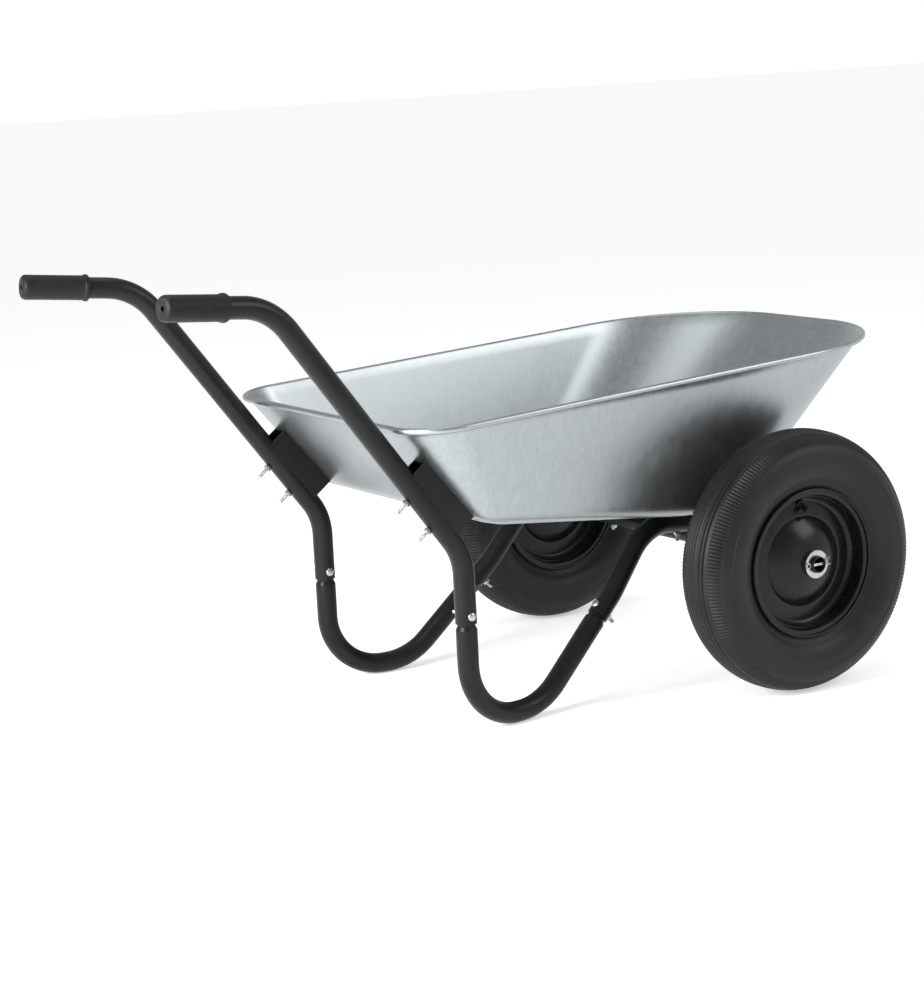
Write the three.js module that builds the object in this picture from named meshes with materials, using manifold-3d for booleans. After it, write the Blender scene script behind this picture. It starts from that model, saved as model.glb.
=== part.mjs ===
// Two-wheeled garden wheelbarrow: pressed steel tray on a frame of bent tube, air-filled wheels on one axle.
// Millimetres, +Z up, +X forward (nose of the tray), +Y to the left of the person who pushes it.
// Pieces are laid out from the point of the ground under the middle of the axle. At the end the whole group
// is moved so that its origin is the middle of the underside of its bounding box.
import * as THREE from "three";
import { mergeVertices } from "three/addons/utils/BufferGeometryUtils.js";
import Module from "manifold-3d";

const wasm = await Module();
wasm.setup();

// ---------------------------------------------------------------- sizes
const fit = 0.3; // gap between pieces that touch

// Tyre and inner tube
const tyreRadius = 200;
const tyreWidth = 106;
const tyreWall = 7;
const tyreRoundness = 2.2; // exponent of the section: 2 is an ellipse, more is squarer
const beadWidth = 8;
const innerTubeWall = 2.5;
const innerTubeWidth = 72;

// Rim, its two dished discs, hub and bushes, from the wheel's middle plane and its axis
const rimSheet = 2;
const flangeRadius = 113;
const flangeOffset = 37.5;
const flangeLean = 1;
const seatRadius = 104;
const seatTaper = 2.5;
const seatWidth = 21;
const wellRadius = 96; // bottom of the rim's well
const wellHalfWidth = 8.5;
const discEdgeInFlange = 10.5; // the disc's edge stands inside the seat, this far in from the flange
const discFoldInSeat = 2.5; // from the foot of the seat out to the disc's fold
const discInWell = 4; // the disc's crease, inside the bottom of the well and out beside it
const discBesideWell = 1.5;
const domeRadius = 68;
const domeFootOffset = 14;
const domeShoulderRadius = 48;
const domeShoulderOffset = 29;
const domeInHub = 3; // from the end of the hub in to the top of the dome
const hubWall = 2.7;
const hubHalfLength = 42;
const bushWall = 3.2;
const bushLength = 24;
const bushFlange = 2;

// Valve: a bent stem, straight in through the well and then leaning out through the outer disc
const valveOffset = 3; // from the middle plane to the straight stretch
const valveBelowWell = 4; // from the bottom of the well in to the elbow
const valveBendRadius = 5;
const valveLean = 62; // degrees
const valveRadius = 4;
const valveBore = 1.5;
const valveTipRadius = 2.6;
const valveStemLength = 18; // from the elbow to the shoulder under the cap
const valveTipLength = 9;
const capWall = 1.6;

// Axle and what is on it
const axleRadius = 12.5;
const axleWall = 2;
const collarHeight = 6.5;
const collarWidth = 5;
const washerReach = 9; // from the axle's surface to the washer's edge
const washerThickness = 2.5;
const pinBesideWasher = 0.5;
const axleBeyondPin = 2;
const pinRadius = 1.6;
const pinLegLength = 15;
const pinLegSplay = 22; // degrees
const tyreToTray = 10; // clear width between tyre and tray at the top of the tyre
const saddleLength = 34;
const saddleWidth = 28;
const saddleAboveAxle = 6.5; // lower face, over the middle of the axle
const saddleUnderRail = 7; // upper face, under the middle of the rail

// Frame tube
const tubeRadius = 16;
const tubeWall = 1.5;

// Handle tubes: distances behind the axle and heights above it
const gripEndBehindAxle = 979;
const gripEndAboveAxle = 475;
const gripEndOutward = 28; // splay of the grip end from the foot of the handle
const upperBendBehindAxle = 807;
const upperBendAboveAxle = 458;
const upperBendOutward = 4;
const upperBendRadius = 100;
const handleBehindAxle = 517.5;
const lowerBendAboveAxle = 69;
const lowerBendRadius = 90;
const socketBelowAxle = 32; // lower end of the handle, which takes the leg
const handleInset = 32; // handle tube inside the edge of the tray's floor

// Legs
const legToeIn = 0.1356; // sideways run of the leg and the hoop for each millimetre forward
const rearBendShare = 0.64; // share of the foot's length that the rear bend takes
const frontBendShare = 0.3;
const armSlope = 0.9435;
const frontJointBehindAxle = 252;
const frontJointBelowAxle = 63;
const neckInSocket = 32; // swaged end that slides into the next tube
const neckShowing = 10;
const neckTaper = 7;
const jointBoltInSocket = 12; // from the mouth of the socket to its bolt

// Front hoop
const kinkBeyondJoint = 32;
const kinkRadius = 150;
const kinkedArmSlope = 1.25;
const shoulderRadius = 90;
const riseAheadOfAxle = 110;
const riseRadius = 60;
const noseBarAboveAxle = 162;
const noseCornerRadius = 60;

// Tray
const traySheet = 1.2;
const rimLength = 930;
const rimWidth = 596;
const rimAboveAxle = 297.5; // middle of the rolled edge, over the axle
const rimSlope = 0.0502;
const rimFrontCorner = 225;
const boltToCorner = 0.5; // flat of the rear wall beyond the heads of the bracket bolts
const beadRadius = 4.75;
const wallTopInset = 10; // wall inside the outer edge of the rolled edge
const wallTopDrop = 3; // wall meets the rolled edge this far under its middle
const floorLength = 524;
const floorWidth = 480;
const floorAboveAxle = 58; // edge of the floor, over the axle
const floorSlope = -0.113;
const floorFrontCorner = 140;
const floorFillet = 22;
const panShare = 0.82; // the flat sunk pan of the floor, as a share of the floor's outline
const panDepth = 6;

// Grips
const gripLength = 100;
const gripWall = 2.2;
const gripLip = 1.6;
const gripEndWall = 4;
const gripVentRadius = 4;

// Tray brackets, measured along the handle tube from its lower bend
const bracketStart = 38;
const bracketLength = 118;
const bracketWidth = 30;
const bracketSheet = 2.5;
const bracketDepthLow = 26.5; // from the tube to the tray at the bracket's lower end
const bracketDepthHigh = 21;
const bracketBoltStart = 32;
const bracketBoltSpacing = 56;

// Bolts and nuts
const boltRadius = 3;
const boltHeadRadius = 6.5;
const boltHeadHeight = 3.6;
const nutAcrossFlats = 10;
const nutThickness = 5;
const bracketBoltTail = 18;
const jointBoltTail = 12;
const floorBoltTail = 10;
const floorBoltBehindAxle = 83;
const axleBoltTail = 4;

// Smoothness of round pieces: flat faces round each of them
const tubeFacets = 10;
const bendStep = 22.5; // degrees of bend for each straight length
const boltFacets = 8;
const smallFacets = 16; // axle, hub, bushes, washers, grips
const rimFacets = 24;
const tyreFacets = 32;
const innerTubeFacets = 16;

// Round pieces that fit over one another, from the inside out
const bushRadius = axleRadius + fit + bushWall;
const hubRadius = bushRadius + fit + hubWall;
const collarRadius = axleRadius + collarHeight;
const washerRadius = axleRadius + washerReach;
const gripRadius = tubeRadius + fit + gripWall;

// ---------------------------------------------------------------- finishes
const finish = (color, roughness, metalness) =>
  new THREE.MeshStandardMaterial({ color, roughness, metalness });
const galvanised = finish(0x96a0a2, 0.35, 0.9);
const blackPaint = finish(0x1c1c1d, 0.4, 0.2);
const glossBlack = finish(0x141415, 0.25, 0.2);
const tyreRubber = finish(0x282828, 0.75, 0);
const gripPlastic = finish(0x131313, 0.7, 0);
const zinc = finish(0xc9cbcc, 0.3, 1);
const nylon = finish(0xd8d5cc, 0.5, 0);

// ---------------------------------------------------------------- helpers
const V = (x, y, z) => new THREE.Vector3(x, y, z);
const alongY = V(0, 1, 0);
const step = (point, direction, distance) => point.clone().addScaledVector(direction, distance);
const sides = [
  ["left", 1],
  ["right", -1],
];

// Corner radius of a faceted hole whose flats clear a round piece of the given radius.
const holeFor = (radius, facets) => (radius + fit) / Math.cos(Math.PI / facets);

// Closed three.js geometry to a solid with its faces turned outwards.
function toSolid(geometry) {
  const bare = geometry.index ? geometry.toNonIndexed() : geometry.clone();
  bare.deleteAttribute("normal");
  bare.deleteAttribute("uv");
  const merged = mergeVertices(bare, 1e-4);
  const triVerts = new Uint32Array(merged.index.array);
  const vertProperties = merged.attributes.position.array;
  const build = () => new wasm.Manifold(new wasm.Mesh({ numProp: 3, vertProperties, triVerts }));
  const solid = build();
  if (solid.volume() > 0) return solid;
  for (let i = 0; i < triVerts.length; i += 3) {
    [triVerts[i + 1], triVerts[i + 2]] = [triVerts[i + 2], triVerts[i + 1]];
  }
  return build();
}

function toGeometry(solid) {
  const mesh = solid.getMesh();
  const geometry = new THREE.BufferGeometry();
  geometry.setAttribute("position", new THREE.BufferAttribute(mesh.vertProperties, 3));
  geometry.setIndex(new THREE.BufferAttribute(mesh.triVerts, 1));
  geometry.computeVertexNormals();
  return geometry;
}

// Matrix that lays a piece made along +Y from the origin on a point, along a direction.
function layOn(point, direction) {
  const turn = new THREE.Quaternion().setFromUnitVectors(alongY, direction.clone().normalize());
  return new THREE.Matrix4().compose(point, turn, V(1, 1, 1));
}

// Turned piece: profile of [radius, along] pairs, closed on itself unless it starts and ends on the axis.
function turned(profile, facets) {
  const points = profile.map(([r, y]) => new THREE.Vector2(r, y));
  if (points[0].x > 0 || points.at(-1).x > 0) points.push(points[0].clone());
  return new THREE.LatheGeometry(points, facets);
}

function ring(outer, inner, from, to, facets) {
  const profile = [
    [outer, from],
    [outer, to],
    [inner, to],
    [inner, from],
  ];
  return turned(profile, facets);
}

function rod(point, direction, radius, length, facets) {
  const cylinder = new THREE.CylinderGeometry(radius, radius, length, facets);
  cylinder.translate(0, length / 2, 0);
  return toSolid(cylinder.applyMatrix4(layOn(point, direction)));
}

// Solid that cuts the hole for a bolt or pin, starting a little before a point.
const holeLead = 6;
function drill(point, direction, radius, length) {
  const start = step(point, direction, -holeLead);
  return rod(start, direction, holeFor(radius, boltFacets), length + 2 * holeLead, boltFacets);
}

const model = new THREE.Group();
function add(name, source, material, parent = model) {
  const solid = source.isBufferGeometry ? toSolid(source) : source;
  const mesh = new THREE.Mesh(toGeometry(solid), material);
  mesh.name = name;
  parent.add(mesh);
  return mesh;
}

function place(mesh, point, direction) {
  layOn(point, direction).decompose(mesh.position, mesh.quaternion, mesh.scale);
}

// Centre line of a tube: straight runs between corners, each corner bent to its own radius.
class BentRun extends THREE.Curve {
  constructor(corners, radii) {
    super();
    const heading = (a, b) => corners[b].clone().sub(corners[a]).normalize();
    const last = corners.length - 1;
    this.stations = [{ point: corners[0], tangent: heading(0, 1) }];
    for (let i = 1; i < last; i++) this.bend(corners[i], heading(i - 1, i), heading(i, i + 1), radii[i - 1]);
    this.stations.push({ point: corners[last], tangent: heading(last - 1, last) });
  }
  bend(corner, into, out, radius) {
    const turn = into.angleTo(out);
    if (radius === 0) {
      this.stations.push({ point: corner, tangent: into });
      return;
    }
    const start = step(corner, into, -radius * Math.tan(turn / 2));
    const axis = into.clone().cross(out).normalize();
    const centre = step(start, axis.clone().cross(into), radius);
    const steps = Math.max(1, Math.ceil(THREE.MathUtils.radToDeg(turn) / bendStep));
    for (let k = 0; k <= steps; k++) {
      const angle = (turn * k) / steps;
      const point = start.clone().sub(centre).applyAxisAngle(axis, angle).add(centre);
      this.stations.push({ point, tangent: into.clone().applyAxisAngle(axis, angle) });
    }
  }
  between(t, key) {
    const s = t * (this.stations.length - 1);
    const i = Math.min(Math.floor(s + 1e-9), this.stations.length - 2);
    return this.stations[i][key].clone().lerp(this.stations[i + 1][key], s - i);
  }
  getPoint(t) {
    return this.between(t, "point");
  }
  getPointAt(u) {
    return this.between(u, "point");
  }
  getTangent(t) {
    return this.between(t, "tangent").normalize();
  }
  getTangentAt(u) {
    return this.between(u, "tangent").normalize();
  }
  getSpacedPoints(steps) {
    return Array.from({ length: steps + 1 }, (_, k) => this.getPoint(k / steps));
  }
}

// Tube along a run; without an inner radius it is a solid bar.
function tubeAlong(run, outer, inner = 0) {
  const circle = (path, radius, clockwise) => {
    for (let k = 0; k < tubeFacets; k++) {
      const angle = ((clockwise ? -k : k) * 2 * Math.PI) / tubeFacets;
      path[k ? "lineTo" : "moveTo"](radius * Math.cos(angle), radius * Math.sin(angle));
    }
    path.closePath();
    return path;
  };
  const section = circle(new THREE.Shape(), outer, false);
  if (inner > 0) section.holes.push(circle(new THREE.Path(), inner, true));
  const steps = run.stations.length - 1;
  return new THREE.ExtrudeGeometry(section, { steps, extrudePath: run, curveSegments: 1, bevelEnabled: false });
}

// Swaged end: the last stretch of a tube drawn down about its own axis.
function swage(geometry, end, outward, length) {
  const inside = (tubeRadius - tubeWall) * Math.cos(Math.PI / tubeFacets) - fit;
  const position = geometry.attributes.position;
  for (let i = 0; i < position.count; i++) {
    const from = new THREE.Vector3().fromBufferAttribute(position, i).sub(end);
    const along = from.dot(outward);
    const radial = step(from, outward, -along);
    if (along < -length - 0.01 || radial.length() > 2 * tubeRadius) continue;
    const moved = end.clone().addScaledVector(outward, along).addScaledVector(radial, inside / tubeRadius);
    position.setXYZ(i, moved.x, moved.y, moved.z);
  }
  return geometry;
}

// ---------------------------------------------------------------- layout of frame and tray
const axleHeight = tyreRadius;
const axleCentre = V(0, 0, axleHeight);
const handleHalf = floorWidth / 2 - handleInset;
const frameHalfAt = (x) => handleHalf - legToeIn * (x + handleBehindAxle);

// Corners of a handle tube, from the grip end down to the mouth of its socket.
function handleCorners(side) {
  return {
    gripEnd: V(-gripEndBehindAxle, side * (handleHalf + gripEndOutward), axleHeight + gripEndAboveAxle),
    upper: V(-upperBendBehindAxle, side * (handleHalf + upperBendOutward), axleHeight + upperBendAboveAxle),
    lower: V(-handleBehindAxle, side * handleHalf, axleHeight + lowerBendAboveAxle),
    mouth: V(-handleBehindAxle, side * handleHalf, axleHeight - socketBelowAxle),
  };
}

// Side view of the sloping part of the handle: up the slope, and square to it towards the tray.
const bendRise = upperBendAboveAxle - lowerBendAboveAxle;
const slopeUp = V(handleBehindAxle - upperBendBehindAxle, 0, bendRise).normalize();
const slopeToTray = V(slopeUp.z, 0, -slopeUp.x);
const slopeFoot = V(-handleBehindAxle, 0, axleHeight + lowerBendAboveAxle);
const onSlope = (along, out) => step(step(slopeFoot, slopeUp, along), slopeToTray, out);

// The tray's rear wall lies where the bracket depths put it.
const wallLow = onSlope(bracketStart, tubeRadius + bracketDepthLow);
const wallHigh = onSlope(bracketStart + bracketLength, tubeRadius + bracketDepthHigh);
const wallUp = wallHigh.clone().sub(wallLow).normalize();
const wallOut = V(-wallUp.z, 0, wallUp.x); // out of the tray, backwards and down
const wallSlope = wallUp.z / wallUp.x;
const rearWallMeets = (height, slope) => (height - wallLow.z + wallSlope * wallLow.x) / (wallSlope - slope);

const floorHeight = (x) => axleHeight + floorAboveAxle + floorSlope * x;
const wallTopHeight = (x) => axleHeight + rimAboveAxle - wallTopDrop + rimSlope * x;
const rearFlatHalf = handleHalf + boltHeadRadius + boltToCorner;
const floorRear = rearWallMeets(floorHeight(0), floorSlope);
const wallTopRear = rearWallMeets(wallTopHeight(0), rimSlope);
const floorBox = {
  rear: floorRear,
  front: floorRear + floorLength,
  half: floorWidth / 2,
  rearCorner: floorWidth / 2 - rearFlatHalf,
  frontCorner: floorFrontCorner,
};
const wallTopBox = {
  rear: wallTopRear,
  front: wallTopRear + rimLength - 2 * wallTopInset,
  half: rimWidth / 2 - wallTopInset,
  rearCorner: rimWidth / 2 - wallTopInset - rearFlatHalf,
  frontCorner: rimFrontCorner - wallTopInset,
};
const floorMiddle = floorRear + floorLength / 2;
const floorNormal = V(-floorSlope, 0, 1).normalize();
const floorDown = floorNormal.clone().negate();
const panHeight = (x) => floorHeight(x) - panDepth; // underside of the pan

// The rails of the hoop lie against the underside of the pan.
const railHeight = (x) => panHeight(x) - (tubeRadius + fit) / floorNormal.z;
const railPoint = (x, side) => V(x, side * frameHalfAt(x), railHeight(x));

// Forward arm of the leg, and the middle of its joint with the hoop.
const armAlong = (side) => V(1, -side * legToeIn, armSlope).normalize();
function frontJoint(side) {
  const x = -frontJointBehindAxle;
  return V(x, side * frameHalfAt(x), axleHeight - frontJointBelowAxle);
}

// ---------------------------------------------------------------- tray
// Plan of the tray walked once round: rounded rectangle whose rear and front corners have their own radius.
const rearCornerSteps = 5;
const frontCornerSteps = 9;
const plan = (() => {
  const corners = [
    { end: "rear", y: -1, steps: rearCornerSteps, run: 4 },
    { end: "front", y: -1, steps: frontCornerSteps, run: 2 },
    { end: "front", y: 1, steps: frontCornerSteps, run: 4 },
    { end: "rear", y: 1, steps: rearCornerSteps, run: 2 },
  ];
  const walk = [];
  corners.forEach((corner, i) => {
    const start = Math.PI + (i * Math.PI) / 2;
    for (let k = 0; k <= corner.steps; k++) {
      walk.push({ from: corner, to: corner, angle: start + ((k / corner.steps) * Math.PI) / 2, share: 0 });
    }
    for (let k = 1; k < corner.run; k++) {
      walk.push({ from: corner, to: corners[(i + 1) % 4], angle: start + Math.PI / 2, share: k / corner.run });
    }
  });
  return walk;
})();

function planPoint({ from, to, angle, share }, box) {
  const n = V(Math.cos(angle), Math.sin(angle), 0);
  const at = ({ end, y }) => {
    const radius = end === "rear" ? box.rearCorner : box.frontCorner;
    const x = end === "rear" ? box.rear + radius : box.front - radius;
    return V(x, y * (box.half - radius), 0).addScaledVector(n, radius);
  };
  return { point: at(from).lerp(at(to), share), n };
}

// One column of the pressed sheet, from the middle of the floor out and up the wall.
function sheetColumn(where, inwards, lift) {
  const { point: foot, n } = planPoint(where, floorBox);
  foot.setZ(floorHeight(foot.x));
  const top = planPoint(where, wallTopBox).point;
  top.setZ(wallTopHeight(top.x));
  const wall = top.clone().sub(foot);
  const corner = step(step(foot, n, -inwards), wall, lift / wall.z);
  const flat = step(corner, n, -floorFillet);
  flat.setZ(floorHeight(flat.x) + lift);
  const rise = step(corner, wall, floorFillet / wall.length());
  const bend = [0.3, 0.65].map((s) => {
    const first = flat.clone().lerp(corner, s);
    return first.lerp(corner.clone().lerp(rise, s), s);
  });
  const pan = V(floorMiddle + (foot.x - floorMiddle) * panShare, foot.y * panShare, 0);
  pan.setZ(panHeight(pan.x) + lift);
  const middle = V(floorMiddle, 0, panHeight(floorMiddle) + lift);
  return [middle, pan, flat, ...bend, rise, step(top, n, -inwards)];
}

// Horizontal thickness of the wall, so that it measures the sheet square to its face.
function wallThickness(where) {
  const foot = planPoint(where, floorBox).point;
  const top = planPoint(where, wallTopBox).point;
  const height = wallTopHeight(top.x) - floorHeight(foot.x);
  return (traySheet * Math.hypot(foot.distanceTo(top), height)) / height;
}

function rolledEdge(where) {
  const { point, n } = planPoint(where, wallTopBox);
  point.setZ(wallTopHeight(point.x) + wallTopDrop);
  return [-130, -75, -20, 35, 90, 145].map((degrees) => {
    const angle = THREE.MathUtils.degToRad(degrees);
    const out = wallTopInset - beadRadius + beadRadius * Math.cos(angle);
    return step(point, n, out).add(V(0, 0, beadRadius * Math.sin(angle)));
  });
}

// A turned grid pressed to the tray's plan, column by column.
function pressed(columnOf) {
  const columns = plan.map(columnOf);
  const count = columns[0].length;
  const profile = Array.from({ length: count }, (_, i) => new THREE.Vector2(1, i));
  const grid = new THREE.LatheGeometry(profile, plan.length);
  for (let c = 0; c <= plan.length; c++) {
    const column = columns[c % plan.length];
    column.forEach((p, i) => grid.attributes.position.setXYZ(c * count + i, p.x, p.y, p.z));
  }
  return toSolid(grid);
}

const trayShell = pressed((where) => {
  const inside = sheetColumn(where, wallThickness(where), traySheet).reverse();
  return [...sheetColumn(where, 0, 0), ...rolledEdge(where), ...inside];
});
// The tray filled in: what lies inside its outer face.
const trayFilled = pressed((where) => [...sheetColumn(where, 0, 0), V(floorMiddle, 0, wallTopHeight(floorMiddle))]);

// ---------------------------------------------------------------- where the bolts go
// Each line has a seat under the bolt's head, a direction, and the grip from that seat to the nut.
const bracketTilt = wallOut.angleTo(slopeToTray.clone().negate());
const nutRadius = nutAcrossFlats / Math.sqrt(3);

function bracketBoltLine(side, index) {
  const crossing = onSlope(bracketStart + bracketBoltStart + index * bracketBoltSpacing, 0);
  const toWall = wallLow.clone().sub(crossing).dot(wallOut);
  const toNut = tubeRadius / Math.cos(bracketTilt) + nutRadius * Math.tan(bracketTilt);
  crossing.setY(side * handleHalf);
  return { seat: step(crossing, wallOut, toWall - traySheet), along: wallOut, grip: toNut - toWall + traySheet };
}

// Under the handle the bolt lies level; both heads face right.
function rearJointLine(side) {
  const seat = V(-handleBehindAxle, side * handleHalf - tubeRadius, handleCorners(side).mouth.z + jointBoltInSocket);
  return { seat, along: alongY, grip: 2 * tubeRadius };
}

// At the hoop the bolt is square to the arm, head behind and above.
function frontJointLine(side) {
  const arm = armAlong(side);
  const level = V(side * legToeIn, 1, 0).normalize();
  const along = arm.clone().cross(level).normalize();
  if (along.z > 0) along.negate();
  return { seat: step(frontJoint(side), along, -tubeRadius), along, grip: 2 * tubeRadius };
}

// Through tray and rail, head inside the tray.
function floorBoltLine(side) {
  const rail = railPoint(-floorBoltBehindAxle, side);
  const toSeat = (panHeight(rail.x) + traySheet - rail.z) * floorNormal.z;
  return { seat: step(rail, floorNormal, toSeat), along: floorDown, grip: toSeat + tubeRadius };
}

// Through rail, saddle and axle, head under the tray.
const axleToRail = (railHeight(0) - axleHeight) * floorNormal.z;
function axleBoltLine(side) {
  const centre = axleCentre.clone().setY(side * frameHalfAt(0));
  const grip = tubeRadius + axleToRail + axleRadius;
  return { seat: step(centre, floorNormal, axleToRail + tubeRadius), along: floorDown, grip };
}

const holeOf = (line) => drill(line.seat, line.along, boltRadius, line.grip);

// ---------------------------------------------------------------- bolts and nuts
function boltGeometry(length) {
  const profile = [
    [0, -boltHeadHeight],
    [boltHeadRadius * 0.7, -boltHeadHeight * 0.75],
    [boltHeadRadius, 0],
    [boltRadius, 0],
    [boltRadius, length],
    [0, length],
  ];
  return turned(profile, boltFacets);
}

function nutGeometry() {
  const hexagon = new THREE.Shape();
  const hole = new THREE.Path();
  for (let k = 0; k < 6; k++) {
    const angle = (k * Math.PI) / 3;
    hexagon[k ? "lineTo" : "moveTo"](nutRadius * Math.cos(angle), nutRadius * Math.sin(angle));
  }
  const holeRadius = holeFor(boltRadius, boltFacets);
  for (let k = 0; k < boltFacets; k++) {
    const angle = (-k * 2 * Math.PI) / boltFacets;
    hole[k ? "lineTo" : "moveTo"](holeRadius * Math.cos(angle), holeRadius * Math.sin(angle));
  }
  hexagon.closePath();
  hole.closePath();
  hexagon.holes.push(hole);
  const nut = new THREE.ExtrudeGeometry(hexagon, { depth: nutThickness, curveSegments: 1, bevelEnabled: false });
  return nut.rotateX(-Math.PI / 2);
}

function fasten(what, label, line, tail) {
  const bolt = add(`${what}_bolt_${label}`, boltGeometry(line.grip + nutThickness + tail), zinc);
  place(bolt, step(line.seat, line.along, -fit), line.along);
  const nut = add(`${what}_nut_${label}`, nutGeometry(), zinc);
  place(nut, step(line.seat, line.along, line.grip + fit), line.along);
}

// ---------------------------------------------------------------- frame tubes
function handleRun(side) {
  const c = handleCorners(side);
  const start = step(c.gripEnd, c.upper.clone().sub(c.gripEnd).normalize(), gripEndWall + 2);
  return new BentRun([start, c.upper, c.lower, c.mouth], [upperBendRadius, lowerBendRadius]);
}

function handleTube(side) {
  let tube = toSolid(tubeAlong(handleRun(side), tubeRadius, tubeRadius - tubeWall));
  for (const index of [0, 1]) tube = tube.subtract(holeOf(bracketBoltLine(side, index)));
  return tube.subtract(holeOf(rearJointLine(side)));
}

// Leg: down from the handle's socket, round the foot, up to the socket of the hoop.
function legTube(side) {
  const arm = armAlong(side);
  const upright = V(0, 0, 1);
  const rearMouth = handleCorners(side).mouth;
  const frontMouth = step(frontJoint(side), arm, -jointBoltInSocket);
  const rearFoot = rearMouth.clone().setZ(tubeRadius);
  const frontFoot = step(frontMouth, arm, (tubeRadius - frontMouth.z) / arm.z);
  const foot = frontFoot.clone().sub(rearFoot);
  const rearRadius = foot.length() * rearBendShare;
  const frontRadius = (foot.length() * frontBendShare) / Math.tan(foot.angleTo(arm) / 2);
  const neck = (mouth, outward) => {
    const taperTop = step(mouth, outward, neckTaper - neckShowing);
    return [step(mouth, outward, neckInSocket), taperTop, step(taperTop, outward, -neckTaper)];
  };
  const rearNeck = neck(rearMouth, upright);
  const frontNeck = neck(frontMouth, arm);
  const corners = [...rearNeck, rearFoot, frontFoot, ...frontNeck.reverse()];
  const run = new BentRun(corners, [0, 0, rearRadius, frontRadius, 0, 0]);
  const neckLength = neckInSocket + neckShowing - neckTaper;
  const tube = tubeAlong(run, tubeRadius, tubeRadius - tubeWall);
  swage(tube, corners[0], upright, neckLength);
  swage(tube, corners.at(-1), arm, neckLength);
  return toSolid(tube).subtract(holeOf(rearJointLine(side))).subtract(holeOf(frontJointLine(side)));
}

// End of the bar across the nose, lying against the front wall of the tray.
function noseBar(side) {
  const low = V(floorBox.front, 0, floorHeight(floorBox.front));
  const top = V(wallTopBox.front, 0, wallTopHeight(wallTopBox.front));
  const wall = top.sub(low).normalize();
  const base = step(low, V(wall.z, 0, -wall.x), tubeRadius + fit);
  const end = step(base, wall, (axleHeight + noseBarAboveAxle - base.z) / wall.z);
  return end.setY(side * frameHalfAt(end.x));
}

// Hoop: socket, kinked arm, shoulder, rail under the tray, rise to the nose, and back on the other side.
function hoopTube() {
  const half = (side) => {
    const arm = armAlong(side);
    const kink = step(frontJoint(side), arm, kinkBeyondJoint);
    const shoulderX = (railHeight(0) - kink.z + kinkedArmSlope * kink.x) / (kinkedArmSlope - floorSlope);
    const mouth = step(frontJoint(side), arm, -jointBoltInSocket);
    return [mouth, kink, railPoint(shoulderX, side), railPoint(riseAheadOfAxle, side), noseBar(side)];
  };
  const radii = [kinkRadius, shoulderRadius, riseRadius, noseCornerRadius];
  const run = new BentRun([...half(1), ...half(-1).reverse()], [...radii, ...[...radii].reverse()]);
  let tube = toSolid(tubeAlong(run, tubeRadius, tubeRadius - tubeWall));
  for (const [, side] of sides) {
    for (const line of [frontJointLine, floorBoltLine, axleBoltLine]) tube = tube.subtract(holeOf(line(side)));
  }
  return { tube, solidBar: toSolid(tubeAlong(run, tubeRadius + fit)) };
}

// ---------------------------------------------------------------- grips and brackets
function gripGeometry() {
  const bore = holeFor(tubeRadius, smallFacets);
  const profile = [
    [gripVentRadius, 0],
    [gripRadius - 4, 0],
    [gripRadius, 4],
    [gripRadius, gripLength - 7],
    [gripRadius + gripLip, gripLength - 5],
    [gripRadius + gripLip, gripLength],
    [bore, gripLength],
    [bore, gripEndWall],
    [gripVentRadius, gripEndWall],
  ];
  return turned(profile, smallFacets);
}

// Folded channel: its cheeks stand on the handle tube and its web follows the rear wall of the tray.
function trayBracket(side) {
  const reach = 2 * (tubeRadius + bracketDepthLow);
  const block = (width) => {
    const start = onSlope(bracketStart, 0);
    const end = onSlope(bracketStart + bracketLength, 0);
    const outline = [start, end, step(end, slopeToTray, reach), step(start, slopeToTray, reach)];
    const shape = new THREE.Shape(outline.map((p) => new THREE.Vector2(p.x, p.z)));
    const slab = new THREE.ExtrudeGeometry(shape, { depth: width, bevelEnabled: false });
    slab.translate(0, 0, -width / 2).rotateX(Math.PI / 2);
    return toSolid(slab.translate(0, side * handleHalf, 0));
  };
  const behindWall = (gap) => trayFilled.translate(wallOut.clone().multiplyScalar(gap).toArray());
  const outer = block(bracketWidth);
  const cheeks = outer.subtract(block(bracketWidth - 2 * bracketSheet));
  const web = outer.intersect(behindWall(bracketSheet + fit));
  const tubeSpace = toSolid(tubeAlong(handleRun(side), tubeRadius + fit));
  let bracket = cheeks.add(web).subtract(behindWall(fit)).subtract(tubeSpace);
  for (const index of [0, 1]) bracket = bracket.subtract(holeOf(bracketBoltLine(side, index)));
  const largestFirst = bracket.decompose().sort((a, b) => b.volume() - a.volume());
  return largestFirst[0];
}

// ---------------------------------------------------------------- axle and what is on it
const halfTrack = (() => {
  const share = (2 * tyreRadius - floorHeight(0)) / (wallTopHeight(0) - floorHeight(0));
  const trayHalf = floorBox.half + share * (wallTopBox.half - floorBox.half);
  return trayHalf + tyreToTray + tyreWidth / 2;
})();
const hubEnd = hubHalfLength + bushFlange + 2 * fit; // outer face of the bush flange
const washerEnd = hubEnd + fit + washerThickness;
const pinOffset = washerEnd + pinBesideWasher + fit + pinRadius;
const axleHalf = halfTrack + pinOffset + pinRadius + axleBeyondPin;

function axleTube() {
  let axle = toSolid(ring(axleRadius, axleRadius - axleWall, -axleHalf, axleHalf, smallFacets));
  for (const [, side] of sides) {
    const face = side * (halfTrack - hubEnd - fit);
    const bite = axleRadius - axleWall / 2;
    const collar = ring(collarRadius, bite, face - side * collarWidth, face, smallFacets);
    axle = axle.add(toSolid(collar));
  }
  axle = axle.translate(axleCentre.toArray());
  for (const [, side] of sides) {
    const pinStart = V(-axleRadius, side * (halfTrack + pinOffset), axleHeight);
    const pinHole = drill(pinStart, V(1, 0, 0), pinRadius, 2 * axleRadius);
    axle = axle.subtract(holeOf(axleBoltLine(side))).subtract(pinHole);
  }
  return axle;
}

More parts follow.
